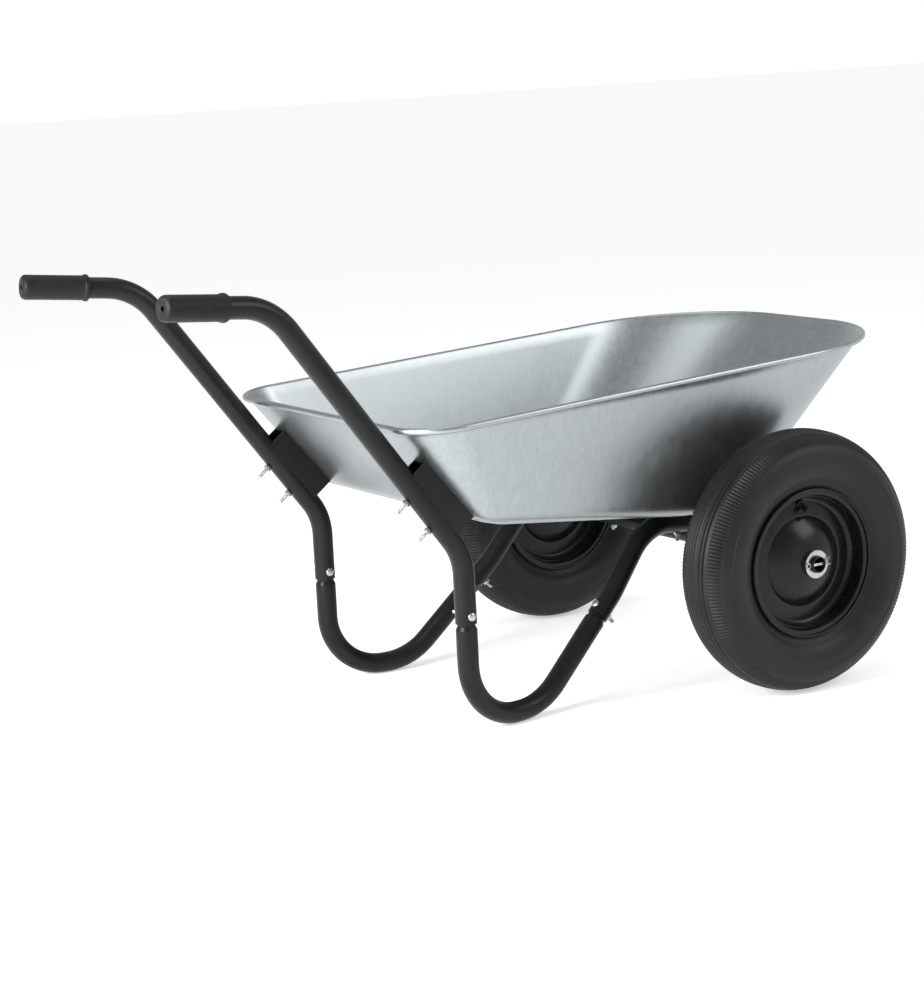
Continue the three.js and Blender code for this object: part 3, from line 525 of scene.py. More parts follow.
def rear_wall_meets(height, slope):
    wall_slope = WALL_UP[2] / WALL_UP[0]
    return (height - WALL_LOW[2] + wall_slope * WALL_LOW[0]) / (wall_slope - slope)


FLOOR_REAR = rear_wall_meets(floor_height(0), FLOOR_SLOPE)
WALL_TOP_REAR = rear_wall_meets(wall_top_height(0), RIM_SLOPE)
FLOOR_NORMAL = unit((-FLOOR_SLOPE, 0, 1))
PAN_DEPTH, PAN_SHARE = 6.0, 0.82


def pan_height(x):
    return floor_height(x) - PAN_DEPTH


def rail_point(x, side):
    z = pan_height(x) - (TUBE + FIT) / FLOOR_NORMAL[2]
    return np.array((x, side * frame_half_at(x), z))


print("tray starts at x, mm from the axle: floor", round(FLOOR_REAR, 1), "top", round(WALL_TOP_REAR, 1))

# %% [markdown]
# The tray is pressed from one sheet, so it is one skin: from the middle of the floor out over the sunk pan,
# round the bottom fold, up the wall, over the rolled edge and back down the inside. Its plan is a rounded
# rectangle at every height, blended between the small plan of the floor and the large plan of the rim.
# Corners get most of the points, because flat stretches of sheet need few.

# %% Plan of the tray
SHEET = 1.2
REAR_FLAT_HALF = HANDLE_HALF + 6.5 + 0.5
CORNER_STEPS = {"rear": 18, "front": 30}
FLOOR_PLAN = {
    "rear": FLOOR_REAR,
    "front": FLOOR_REAR + FLOOR_LENGTH,
    "half": FLOOR_WIDTH / 2,
    "rear_radius": FLOOR_WIDTH / 2 - REAR_FLAT_HALF,
    "front_radius": 140.0,
}
WALL_TOP_PLAN = {
    "rear": WALL_TOP_REAR,
    "front": WALL_TOP_REAR + RIM_LENGTH - 2 * WALL_TOP_INSET,
    "half": RIM_WIDTH / 2 - WALL_TOP_INSET,
    "rear_radius": RIM_WIDTH / 2 - WALL_TOP_INSET - REAR_FLAT_HALF,
    "front_radius": 225.0 - WALL_TOP_INSET,
}


def plan_walk():
    """Every place round the tray once: the corners it lies between, the direction out, and the share."""
    corners = (("rear", -1), ("front", -1), ("front", 1), ("rear", 1))
    runs = (10, 10, 10, 10)
    walk = []
    for i, corner in enumerate(corners):
        start = math.pi + i * math.pi / 2
        steps = CORNER_STEPS[corner[0]]
        walk += [(corner, corner, start + math.pi / 2 * k / steps, 0.0) for k in range(steps + 1)]
        after = corners[(i + 1) % 4]
        walk += [(corner, after, start + math.pi / 2, k / runs[i]) for k in range(1, runs[i])]
    return walk


def plan_point(place, plan):
    first, second, angle, share = place
    outward = np.array((math.cos(angle), math.sin(angle), 0.0))

    def corner_point(corner):
        radius = plan[corner[0] + "_radius"]
        x = plan["rear"] + radius if corner[0] == "rear" else plan["front"] - radius
        return np.array((x, corner[1] * (plan["half"] - radius), 0.0)) + outward * radius

    return corner_point(first) * (1 - share) + corner_point(second) * share, outward


# %% The tray's skin
FLOOR_FOLD = 22.0
FOLD_STEPS, WALL_STEPS, PAN_STEPS = 9, 14, 5
FLOOR_MIDDLE = FLOOR_REAR + FLOOR_LENGTH / 2


def sheet_column(place, thickness, lift):
    """One strip of the sheet, from the middle of the floor to the top of the wall."""
    foot, outward = plan_point(place, FLOOR_PLAN)
    foot[2] = floor_height(foot[0])
    top, _ = plan_point(place, WALL_TOP_PLAN)
    top[2] = wall_top_height(top[0])
    wall = top - foot
    inset = -outward * thickness * np.linalg.norm(wall) / wall[2]
    corner = foot + inset + wall * (lift / wall[2])
    flat = corner - outward * FLOOR_FOLD
    flat[2] = floor_height(flat[0]) + lift
    rise = corner + wall * FLOOR_FOLD / np.linalg.norm(wall)
    middle = np.array((FLOOR_MIDDLE, 0.0, pan_height(FLOOR_MIDDLE) + lift))
    pan = middle + (foot - middle) * PAN_SHARE
    pan[2] = pan_height(pan[0]) + lift
    strip = [middle + (pan - middle) * t for t in np.linspace(0, 1, PAN_STEPS + 1)]
    strip += [pan + (flat - pan) * np.array((t, t, smoothstep(0, 1, t))) for t in np.linspace(0, 1, 7)[1:]]
    for t in np.linspace(0, 1, FOLD_STEPS)[1:]:
        strip.append((1 - t) ** 2 * flat + 2 * t * (1 - t) * corner + t**2 * rise)
    strip += [rise + (top + inset - rise) * t for t in np.linspace(0, 1, WALL_STEPS + 1)[1:]]
    return strip


def rolled_edge(place):
    """The sheet's edge, rolled outwards into a bead."""
    top, outward = plan_point(place, WALL_TOP_PLAN)
    top[2] = wall_top_height(top[0]) + WALL_TOP_DROP
    centre = top + outward * (WALL_TOP_INSET - BEAD)
    angles = np.radians(np.linspace(-150, 165, 18))
    return [centre + BEAD * (math.cos(a) * outward + math.sin(a) * UP) for a in angles]


def tray_skin():
    columns = []
    for place in plan_walk():
        outside = sheet_column(place, 0.0, 0.0)
        inside = sheet_column(place, SHEET, SHEET)[::-1]
        columns.append(outside + rolled_edge(place) + inside)
    rows = np.array(columns).transpose(1, 0, 2)
    return skin("pressed_tray", rows, sharp=math.radians(60))


TRAY = finish_piece(tray_skin(), GALVANISED, "tray_galvanised", "tray")
print("tray:", len(TRAY.data.polygons), "faces")

# %% [markdown]
# The handles are plain bent tubes. Each leg is a second tube whose two ends were drawn down in a die until
# they slide into the handle and into the hoop, so a short taper shows just outside each socket.

# %% Handle tubes
def handle_tube(label, side):
    grip_end, upper, lower, mouth = handle_corners(side)
    start = grip_end + unit(upper - grip_end) * 6
    return tube(f"bent_handle_{label}", bent_run([start, upper, lower, mouth], [100, 90]), TUBE, TUBE_WALL)


for label, side in SIDES:
    finish_piece(handle_tube(label, side), POWDER, "frame_paint", f"handle_tube_{label}")

# %% Leg tubes with swaged ends
ARM_SLOPE = 0.9435
JOINT_X, JOINT_Z = -252.0, -63.0
NECK_IN, NECK_SHOWING, NECK_TAPER = 32.0, 10.0, 7.0
NECK_RADIUS = 13.4
BOLT_IN_SOCKET = 12.0


def arm_along(side):
    return unit((1, -side * TOE_IN, ARM_SLOPE))


def front_joint(side):
    return np.array((JOINT_X, side * frame_half_at(JOINT_X), JOINT_Z))


def neck(mouth, outward):
    """Points from the hidden end of a neck down its taper."""
    distances = [NECK_IN, *np.linspace(NECK_TAPER - NECK_SHOWING, -NECK_SHOWING, 7)]
    return [mouth + outward * d for d in distances]


def leg_tube(label, side):
    arm = arm_along(side)
    rear_mouth = handle_corners(side)[3]
    front_mouth = front_joint(side) - arm * BOLT_IN_SOCKET
    ground = TUBE - AXLE_HEIGHT
    rear_foot = rear_mouth * (1, 1, 0) + UP * ground
    front_foot = front_mouth + arm * (ground - front_mouth[2]) / arm[2]
    length = np.linalg.norm(front_foot - rear_foot)
    turn = math.acos(unit(front_foot - rear_foot) @ arm)
    rear_neck, front_neck = neck(rear_mouth, UP), neck(front_mouth, arm)
    corners = [*rear_neck, rear_foot, front_foot, *front_neck[::-1]]
    radii = [0] * 7 + [length * 0.64, length * 0.3 / math.tan(turn / 2)] + [0] * 7
    run = bent_run(corners, radii)
    taper = NECK_RADIUS + (TUBE - NECK_RADIUS) * smoothstep(0, 1, np.linspace(0, 1, 7))
    radius = np.full(len(run[0]), TUBE)
    radius[:8] = [NECK_RADIUS, *taper]
    radius[-8:] = radius[:8][::-1]
    return tube(f"looped_leg_{label}", run, radius, TUBE_WALL)


for label, side in SIDES:
    finish_piece(leg_tube(label, side), POWDER, "frame_paint", f"leg_tube_{label}")

# %% [markdown]
# The hoop is the longest tube: from one leg it climbs to the tray, runs under it as a rail, rises in front
# of the nose, crosses, and comes back the same way. The nose of the tray rests against its crossbar.

# %% Front hoop
def nose_bar(side):
    low = np.array((FLOOR_PLAN["front"], 0, floor_height(FLOOR_PLAN["front"])))
    top = np.array((WALL_TOP_PLAN["front"], 0, wall_top_height(WALL_TOP_PLAN["front"])))
    wall = unit(top - low)
    base = low + np.array((wall[2], 0, -wall[0])) * (TUBE + FIT)
    end = base + wall * (162.0 - base[2]) / wall[2]
    return np.array((end[0], side * frame_half_at(end[0]), end[2]))


def hoop_half(side):
    arm = arm_along(side)
    kink = front_joint(side) + arm * 32
    steep = 1.25
    shoulder_x = (rail_point(0, side)[2] - kink[2] + steep * kink[0]) / (steep - FLOOR_SLOPE)
    mouth = front_joint(side) - arm * BOLT_IN_SOCKET
    return [mouth, kink, rail_point(shoulder_x, side), rail_point(110, side), nose_bar(side)]


HOOP_RADII = [150, 90, 60, 60]
HOOP_RUN = bent_run(hoop_half(1) + hoop_half(-1)[::-1], HOOP_RADII + HOOP_RADII[::-1])
HOOP = finish_piece(tube("front_hoop_tube", HOOP_RUN, TUBE, TUBE_WALL), POWDER, "frame_paint", "front_hoop")
print("hoop:", len(HOOP.data.polygons), "faces")

# %% [markdown]
# The grips are moulded sleeves pushed over the handle ends. A grip has a domed end with a small vent, so
# that air can leave as it goes on, shallow ribs round it under the fingers, and a raised collar in front.

# %% Grips
GRIP_LENGTH, GRIP_RADIUS, GRIP_LIP = 100.0, 18.5, 1.6


def grip_profile():
    outside = [(4.0, 1.2), (8.0, 0.3), (12.0, 0.0), (15.2, 0.9), (17.3, 2.8), (18.3, 5.2)]
    ribs_from, ribs_to, count = 14.0, 86.0, 12
    for y in np.linspace(8, ribs_to, 120):
        depth = 0.35 * smoothstep(ribs_from - 2, ribs_from + 2, y) * smoothstep(ribs_to + 1, ribs_to - 3, y)
        wave = 0.5 - 0.5 * math.cos(2 * math.pi * count * (y - ribs_from) / (ribs_to - ribs_from))
        outside.append((GRIP_RADIUS - depth * wave**4, y))
    lip = GRIP_RADIUS + GRIP_LIP
    outside += [(GRIP_RADIUS, 92.4), (GRIP_RADIUS + 0.4, 93.2), (lip - 0.3, 94.2), (lip, 95.0)]
    outside += [(lip, 98.6), (lip - 0.5, 99.6), (lip - 1.2, GRIP_LENGTH)]
    return outside + [(TUBE + FIT, GRIP_LENGTH), (TUBE + FIT, 4.2), (4.0, 4.2)]


for label, side in SIDES:
    grip_end, upper = handle_corners(side)[:2]
    grip = turned(f"moulded_grip_{label}", grip_profile(), grip_end, upper - grip_end, around=72)
    finish_piece(grip, GRIP, "grip_plastic", f"grip_{label}")

# %% [markdown]
# Every joint of the frame is an M6 bolt with a round head and a hexagon nut. The thread is really cut here:
# the radius of the shank swings with the height minus the angle, which winds the grooves into a screw.

# %% Bolts and nuts
BOLT, BOLT_HEAD, HEAD_HEIGHT = 3.0, 6.5, 3.6
NUT_FLATS, NUT_THICK = 10.0, 5.0
PITCH = 1.0


def bolt_piece(name, seat, along, grip, tail):
    head = [(0.0, -HEAD_HEIGHT)]
    for angle in np.linspace(0.12, math.pi / 2, 10):
        head.append((BOLT_HEAD * math.sin(angle), -0.5 - (HEAD_HEIGHT - 0.5) * math.cos(angle)))
    length = grip + NUT_THICK + tail
    plain = grip - 2
    head += [(BOLT_HEAD, -0.15), (BOLT_HEAD - 0.2, 0.0), (BOLT, 0.0), (BOLT, plain)]
    thread = [(BOLT, y) for y in np.arange(plain + 0.2, length - 0.8, PITCH / 5)]
    profile = head + thread + [(BOLT - 0.75, length), (0.0, length)]
    origin = seat - along * FIT
    grid = turned_grid(profile, origin, along, around=20)
    first = len(head)
    angles = np.linspace(0, 1, 20, endpoint=False)
    for row in range(first, first + len(thread)):
        y = profile[row][1]
        phase = (y / PITCH - angles) % 1.0
        cut = 0.55 * (1 - np.abs(2 * phase - 1))
        centre = origin + along * y
        grid[row] = centre + (grid[row] - centre) * ((BOLT - cut) / BOLT)[:, None]
    return skin(name, grid, sharp=math.radians(50))


def nut_piece(name, seat, along, grip):
    around = 48
    angles = np.linspace(0, 2 * math.pi, around, endpoint=False)
    hexagon = NUT_FLATS / 2 / np.cos((angles % (math.pi / 3)) - math.pi / 6)
    round_edge = np.full(around, NUT_FLATS / 2 * 0.97)
    bore = np.full(around, BOLT + FIT)
    chamfered = np.minimum(hexagon, NUT_FLATS / 2 * 1.07)
    rows = ((bore, 0.5), (bore + 0.5, 0.0), (round_edge, 0.0), (chamfered, 0.45), (hexagon, 0.9),
            (hexagon, NUT_THICK - 0.9), (chamfered, NUT_THICK - 0.45), (round_edge, NUT_THICK),
            (bore + 0.5, NUT_THICK), (bore, NUT_THICK - 0.5))
    _, one, other = axes_about(along)
    circle = np.outer(np.cos(angles), one) + np.outer(np.sin(angles), other)
    origin = seat + along * (grip + FIT)
    grid = np.array([origin + along * y + circle * r[:, None] for r, y in rows])
    return skin(name, grid, closed_along=True, sharp=math.radians(24))


def fasten(what, label, line, tail):
    seat, along, grip = line
    bolt = bolt_piece(f"{what}_round_bolt_{label}", seat, along, grip, tail)
    finish_piece(bolt, ZINC, "zinc_hardware", f"{what}_bolt_{label}")
    nut = nut_piece(f"{what}_hex_nut_{label}", seat, along, grip)
    finish_piece(nut, ZINC, "zinc_hardware", f"{what}_nut_{label}")


# %% Where the bolts go
NUT_CORNER = NUT_FLATS / math.sqrt(3)
BRACKET_TILT = math.acos(float(WALL_OUT @ -SLOPE_TO_TRAY))


def bracket_line(side, index):
    crossing = on_slope(BRACKET_START + 32 + 56 * index, 0)
    to_wall = float((WALL_LOW - crossing) @ WALL_OUT)
    to_nut = TUBE / math.cos(BRACKET_TILT) + NUT_CORNER * math.tan(BRACKET_TILT)
    crossing[1] = side * HANDLE_HALF
    return crossing + WALL_OUT * (to_wall - SHEET), WALL_OUT, to_nut - to_wall + SHEET


def rear_joint_line(side):
    seat = np.array((HANDLE_X, side * HANDLE_HALF - TUBE, SOCKET_MOUTH_Z + BOLT_IN_SOCKET))
    return seat, LEFTWARD, 2 * TUBE


def front_joint_line(side):
    along = unit(np.cross(arm_along(side), unit((side * TOE_IN, 1, 0))))
    along = -along if along[2] > 0 else along
    return front_joint(side) - along * TUBE, along, 2 * TUBE


def floor_line(side):
    rail = rail_point(-83, side)
    to_seat = (pan_height(rail[0]) + SHEET - rail[2]) * FLOOR_NORMAL[2]
    return rail + FLOOR_NORMAL * to_seat, -FLOOR_NORMAL, to_seat + TUBE


AXLE, AXLE_WALL = 12.5, 2.0
AXLE_TO_RAIL = rail_point(0, 1)[2] * FLOOR_NORMAL[2]


def axle_line(side):
    centre = np.array((0.0, side * frame_half_at(0), 0.0))
    return centre + FLOOR_NORMAL * (AXLE_TO_RAIL + TUBE), -FLOOR_NORMAL, TUBE + AXLE_TO_RAIL + AXLE


BRACKET_TAIL, JOINT_TAIL, FLOOR_TAIL, AXLE_TAIL = 18, 12, 10, 4
for label, side in SIDES:
    fasten("bracket_lower", label, bracket_line(side, 0), BRACKET_TAIL)
    fasten("bracket_upper", label, bracket_line(side, 1), BRACKET_TAIL)
    fasten("rear_joint", label, rear_joint_line(side), JOINT_TAIL)
    fasten("front_joint", label, front_joint_line(side), JOINT_TAIL)
    fasten("floor", label, floor_line(side), FLOOR_TAIL)
    fasten("axle", label, axle_line(side), AXLE_TAIL)
print("fasteners: 12 bolts with their nuts")

# %% [markdown]
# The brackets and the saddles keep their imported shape, which is right as it is: folded channels between
# tube and tray, and blocks hollowed for tube and axle. A bevel rounds their edges and powder coat finishes
# them, because a node of the frame may take modifiers and materials but may not be moved or reshaped.

# %% Brackets and saddles
def keep_packed(node, finish, bevel=0.0):
    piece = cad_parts[node]
    piece.data.materials.clear()
    piece.data.materials.append(finish.material)
    if bevel:
        edge = piece.modifiers.new("soft_edges", "BEVEL")
        edge.width = bevel * MM
        edge.segments = 3
        edge.limit_method = "ANGLE"
        edge.angle_limit = math.radians(40)
        edge.harden_normals = False
    return piece


for label, _ in SIDES:
    keep_packed(f"tray_bracket_{label}", POWDER, 0.5)
    keep_packed(f"axle_saddle_{label}", POWDER, 0.8)

# %% [markdown]
# The wheels are 4.00-8 barrow wheels. Both are the same, so each piece is described once about the
# wheel's own middle, and a small helper puts it on the left or, turned round, on the right.

# %% Where the wheels are
TYRE_RADIUS, TYRE_HALF = 200.0, 53.0
tyre_low, tyre_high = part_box("tyre_left")
HALF_TRACK = float((tyre_low.y + tyre_high.y) / 2 - AXLE_MIDDLE[1]) / MM


def wheel_axes(side):
    """Middle of a wheel and the direction that points out of its outer face."""
    return LEFTWARD * side * HALF_TRACK, LEFTWARD * side


def wheel_piece(name, profile, label, side, around=128, sharp=SHARP_ANGLE):
    middle, outward = wheel_axes(side)
    return turned(f"{name}_{label}", profile, middle, outward, around, f"{label}_wheel", sharp)


print("half track:", round(HALF_TRACK, 1), "mm")

# %% [markdown]
# The tyre's section is a squared ellipse, open at the rim like the real one. Its tread is cut into the
# grid itself: close grooves run round the crown, and fine ribs cross each shoulder like the teeth of a comb.
# Thin raised lines ring the side and the bead, as the mould leaves them.

# %% Tyre section
FLANGE_RADIUS, FLANGE_OFFSET = 113.0, 37.5
RIM_SHEET = 2.0
SEAT_RADIUS = 104.0
TYRE_WALL = 7.0
SECTION_HALF = (TYRE_RADIUS - FLANGE_RADIUS) / 2 + 1.5
SECTION_CENTRE = TYRE_RADIUS - SECTION_HALF
ROUNDNESS = 2.2


def section_point(half_height, half_width, degrees):
    s, c = math.sin(math.radians(degrees)), math.cos(math.radians(degrees))
    bulge = lambda v: math.copysign(abs(v) ** (2 / ROUNDNESS), v)
    return np.array((SECTION_CENTRE + half_height * bulge(c), half_width * bulge(s)))


def crown_angles():
    """Close steps over the tread, wide ones down the sides, in degrees from the crown."""
    half = np.concatenate([np.linspace(0, 66, 61), np.linspace(66, 128, 26)[1:]])
    return np.concatenate([-half[::-1], half[1:]])


def tyre_profile():
    """Closed profile; the outside comes first, from the lower bead over the crown to the upper one."""
    bead_face = FLANGE_OFFSET - 1 - RIM_SHEET - 2 * FIT
    bead_bore = SEAT_RADIUS + RIM_SHEET / 2 + 0.8
    outside = [section_point(SECTION_HALF, TYRE_HALF, d) for d in crown_angles()]
    bead = [
        np.array((FLANGE_RADIUS + 3.5, bead_face)),
        np.array((FLANGE_RADIUS - 2, bead_face - 0.3)),
        np.array((bead_bore + 1, bead_face - 0.5)),
        np.array((bead_bore, bead_face - 2)),
    ]
    low_bead = [p * (1, -1) for p in bead[::-1]]
    air_half_height, air_half_width = SECTION_HALF - TYRE_WALL, TYRE_HALF - TYRE_WALL
    inside = [section_point(air_half_height, air_half_width, d) for d in np.linspace(140, -140, 25)]
    inside = [np.array((bead_bore, bead_face - 8))] + inside + [np.array((bead_bore, 8 - bead_face))]
    return low_bead + outside + bead + inside


# %% Tyre with its tread
RIBS = 216
AROUND_RIB = 4
TREAD_DEPTH = 2.0
TREAD_ROWS = 4 + len(crown_angles())
TREAD_FROM, TREAD_FULL = 168, 176
GROOVES = (0.0, 0.13, 0.26, 0.39)
RIBS_FROM, RIBS_TO = (0.5, 0.56), (0.82, 0.9)


def tread_cut(lateral, turn):
    """Depth of the tread's cuts, 0 to 1; lateral is -1 to 1 across the tyre, turn is 0 to 1 round it."""
    a = abs(lateral)
    grooves = max(math.exp(-((a - g) / 0.02) ** 2) for g in GROOVES)
    wave = 0.5 + 0.5 * np.cos(2 * math.pi * turn * RIBS)
    cross = 0.75 * wave**1.5 * smoothstep(*RIBS_FROM, a) * (1 - smoothstep(*RIBS_TO, a))
    return np.maximum(grooves, cross)


def unit_rows(rows):
    return rows / np.linalg.norm(rows, axis=1)[:, None]


def tyre_piece(label, side):
    profile = tyre_profile()
    middle, outward = wheel_axes(side)
    around = RIBS * AROUND_RIB
    grid = turned_grid(profile, middle, outward, around)
    turn = np.arange(around) / around
    for row, (r, y) in enumerate(profile):
        if row > TREAD_ROWS or r < TREAD_FROM:
            continue
        depth = TREAD_DEPTH * tread_cut(y / TYRE_HALF, turn) * smoothstep(TREAD_FROM, TREAD_FULL, r)
        centre = middle + outward * y
        slope = unit(np.array((r - SECTION_CENTRE, y * 0.7)))
        ring = unit_rows(grid[row] - centre)
        inward, sideways = (depth * slope[0])[:, None], (depth * slope[1])[:, None]
        grid[row] = grid[row] - ring * inward - outward * sideways
    name, body = f"treaded_tyre_{label}", f"{label}_wheel"
    return skin(name, grid, closed_along=True, body=body, sharp=math.radians(48))


def side_ring(label, side, facing, radius, width, height):
    """Raised moulding line on the sidewall."""
    share = (radius - SECTION_CENTRE) / SECTION_HALF
    y = TYRE_HALF * (1 - abs(share) ** ROUNDNESS) ** (1 / ROUNDNESS)
    circle = np.linspace(0, 2 * math.pi, 13)[:-1]
    bead = [(radius + width * math.cos(a), facing * (y - 0.2 + height * math.sin(a))) for a in circle]
    name = f"sidewall_ring_{radius:.0f}_{'outer' if facing > 0 else 'inner'}"
    return wheel_piece(name, bead, label, side, 180)


SIDE_RINGS = ((164.0, 1.3, 1.0), (124.0, 0.8, 0.7), (120.5, 0.8, 0.7))
for label, side in SIDES:
    finish_piece(tyre_piece(label, side), RUBBER, "tyre_rubber", f"tyre_{label}")
    for facing in (1, -1):
        for sizes in SIDE_RINGS:
            finish_piece(side_ring(label, side, facing, *sizes), RUBBER, "tyre_rubber")
print("tyres:", RIBS, "ribs round each shoulder")

# %% [markdown]
# A barrow wheel is three pressings welded into one: a ring that carries the tyre, and two dished discs that
# meet back to back inside it and spread round the hub. From the edge inwards one sees a rolled lip, a dark
# seam where the disc's edge stands in the ring, a ridge, a flat ring, a groove, and the domed middle. A
# profile of even thickness is made by offsetting one line to both sides.

# %% Rim rings and discs
def smooth_line(points, per_span=8):
    """A Catmull-Rom curve through points, for pressed shapes that flow."""
    p = [np.array(q, float) for q in points]
    p = [2 * p[0] - p[1], *p, 2 * p[-1] - p[-2]]
    line = []
    for a, b, c, d in zip(p, p[1:], p[2:], p[3:]):
        for t in np.linspace(0, 1, per_span, endpoint=False):
            square, cube = (2 * a - 5 * b + 4 * c - d) * t**2, (3 * b - a - 3 * c + d) * t**3
            line.append(0.5 * (2 * b + (c - a) * t + square + cube))
    return np.array(line + [p[-2]])


def sheet_profile(line, thickness):
    along = np.gradient(line, axis=0)
    along /= np.linalg.norm(along, axis=1)[:, None]
    normal = np.stack([-along[:, 1], along[:, 0]], axis=1) * thickness / 2
    return [*(line + normal), *(line - normal)[::-1]]


def ring_line():
    """Middle line of the rim's ring, from lip to lip."""
    half = [(110.2, 38.1), (112.3, 38.0), (113.0, 36.4), (111.4, 35.5), (107.0, 35.3), (104.4, 34.6),
            (103.7, 31.0), (102.6, 22.0), (101.5, 15.0), (99.6, 11.0), (96.6, 8.8)]
    return smooth_line(half + [(96.0, 0.0)] + [(r, -y) for r, y in half[::-1]], 5)


def disc_line(facing):
    """Middle line of a disc, from its edge in the ring to its top at the hub."""
    edge = [(100.6, 27.0), (100.2, 22.0), (99.3, 17.6), (97.6, 14.2), (94.6, 11.2), (91.6, 10.1)]
    flat = [(88.0, 10.7), (80.0, 12.1), (72.0, 13.5), (69.0, 13.6), (67.2, 15.2)]
    dome = [(64.0, 18.2), (58.0, 23.0), (50.0, 28.4), (42.0, 32.4), (34.0, 35.4), (26.0, 37.9), (20.6, 39.0)]
    return smooth_line([(r, facing * y) for r, y in edge + flat + dome], 5)


RIM_THICK = 1.9
FACINGS = ((1, "outer"), (-1, "inner"))
for label, side in SIDES:
    ring = wheel_piece("rim_ring", sheet_profile(ring_line(), RIM_THICK), label, side, 144)
    finish_piece(ring, GLOSS, "rim_paint", f"rim_{label}")
    for facing, where in FACINGS:
        pressing = sheet_profile(disc_line(facing), RIM_THICK)
        disc = wheel_piece(f"pressed_disc_{where}", pressing, label, side, 144)
        finish_piece(disc, GLOSS, "rim_paint", f"wheel_disc_{where}_{label}")

# %% [markdown]
# A weld is a row of small overlapping puddles. A thin ring whose thickness swells and sinks many times on
# its way round gives just that, and it goes wherever two steel pieces were joined for good.

# %% Hubs with their welds
HUB, HUB_HALF = 19.0, 42.0
BUSH, BUSH_LENGTH, BUSH_FLANGE = 16.0, 24.0, 2.0
HUB_WELD_OFFSET = 39.8


def weld(name, middle, axis, radius, size, body, puddles=40):
    around = puddles * 6
    turn = np.arange(around) * 2 * math.pi / around
    swell = 1 + 0.16 * np.abs(np.sin(turn * puddles / 2)) + 0.06 * np.sin(3 * turn + 1)
    along, one, other = axes_about(axis)
    out = np.outer(np.cos(turn), one) + np.outer(np.sin(turn), other)
    rows = []
    for a in np.linspace(0, 2 * math.pi, 10, endpoint=False):
        r = radius + size * swell * math.cos(a)
        rows.append(middle + out * r[:, None] + np.outer(size * swell * math.sin(a), along))
    return skin(name, rows, closed_along=True, body=body)


for label, side in SIDES:
    middle, outward = wheel_axes(side)
    bore = BUSH + FIT
    section = rounded([(HUB, -HUB_HALF), (HUB, HUB_HALF), (bore, HUB_HALF), (bore, -HUB_HALF)], 0.5)
    finish_piece(wheel_piece("hub_tube", section, label, side, 64), GLOSS, "rim_paint", f"hub_{label}")
    for facing, where in FACINGS:
        spot = middle + outward * facing * HUB_WELD_OFFSET
        bead = weld(f"hub_weld_{where}_{label}", spot, outward, HUB + 0.9, 1.3, f"{label}_wheel", 28)
        finish_piece(bead, GLOSS, "rim_paint")

# %% Bushes
def bush_profile(facing):
    seat = HUB_HALF + FIT
    corners = [(AXLE + FIT, seat + BUSH_FLANGE), (HUB, seat + BUSH_FLANGE), (HUB, seat), (BUSH, seat),
               (BUSH, seat - BUSH_LENGTH), (AXLE + FIT, seat - BUSH_LENGTH)]
    return [(r, facing * y) for r, y in rounded(corners, 0.4, 3)]


for label, side in SIDES:
    for facing, where in FACINGS:
        bush = wheel_piece(f"nylon_bush_{where}", bush_profile(facing), label, side, 64)
        finish_piece(bush, NYLON, "bush_nylon", f"bush_{where}_{label}")

# %% [markdown]
# The inner tube is out of sight but for its valve. The stem is bent under the rim and leans outwards
# through a rubber grommet in the disc, so that a pump reaches it. It has a fine thread at its tip, and the
# cap has a knurled skirt that fingers can turn.

# %% Inner tube and valve
VALVE_OFFSET, VALVE_ELBOW = 3.0, 92.0
VALVE_LEAN = math.radians(62)
VALVE_STEM, VALVE_TIP = 18.0, 9.0
VALVE_RADIUS, VALVE_FOOT_RADIUS, VALVE_BEND = 4.0, 6.2, 5
TUBE_LOW, TUBE_HIGH, TUBE_HALF_WIDTH = 106.5, 190.0, 31


def inner_tube_profile():
    centre, half_height = (TUBE_LOW + TUBE_HIGH) / 2, (TUBE_HIGH - TUBE_LOW) / 2
    angles = np.linspace(0, 2 * math.pi, 24, endpoint=False)
    return [(centre + half_height * math.cos(a), TUBE_HALF_WIDTH * math.sin(a)) for a in angles]


def valve_line(side):
    """The stem's elbow under the rim, and the direction in which it leans out of the wheel."""
    middle, outward = wheel_axes(side)
    elbow = middle + outward * VALVE_OFFSET + UP * VALVE_ELBOW
    return elbow, outward * math.sin(VALVE_LEAN) - UP * math.cos(VALVE_LEAN)


def valve_stem(label, side):
    elbow, lean = valve_line(side)
    shoulder = elbow + lean * VALVE_STEM
    corners = [elbow + UP * 18, elbow, shoulder, shoulder + lean * VALVE_TIP]
    run = bent_run(corners, [VALVE_BEND, 0])
    bent = len(run[0]) - 2
    radii = [VALVE_FOOT_RADIUS] + [VALVE_RADIUS] * (bent - 1)
    points, ways = [list(part[:bent]) for part in run]
    tip = [(VALVE_RADIUS, -0.6), (3.4, 0.0)] + [(2.6 - 0.2 * (k % 2), 0.5 * k) for k in range(18)]
    points += [shoulder + lean * along for _, along in tip]
    ways += [lean] * len(tip)
    radii += [radius for radius, _ in tip]
    grid = tube_grid((np.array(points), np.array(ways)), radii, 32)
    return skin(f"valve_stem_{label}", grid, body=f"{label}_wheel")


def grommet(label, side):
    """Rubber ring round the stem where it comes through the disc."""
    elbow, lean = valve_line(side)
    profile = rounded([(4.05, 8.5), (6.8, 8.5), (6.8, 11.8), (4.05, 12.6)], 0.9)
    return turned(f"valve_grommet_{label}", profile, elbow, lean, 48, f"{label}_wheel")


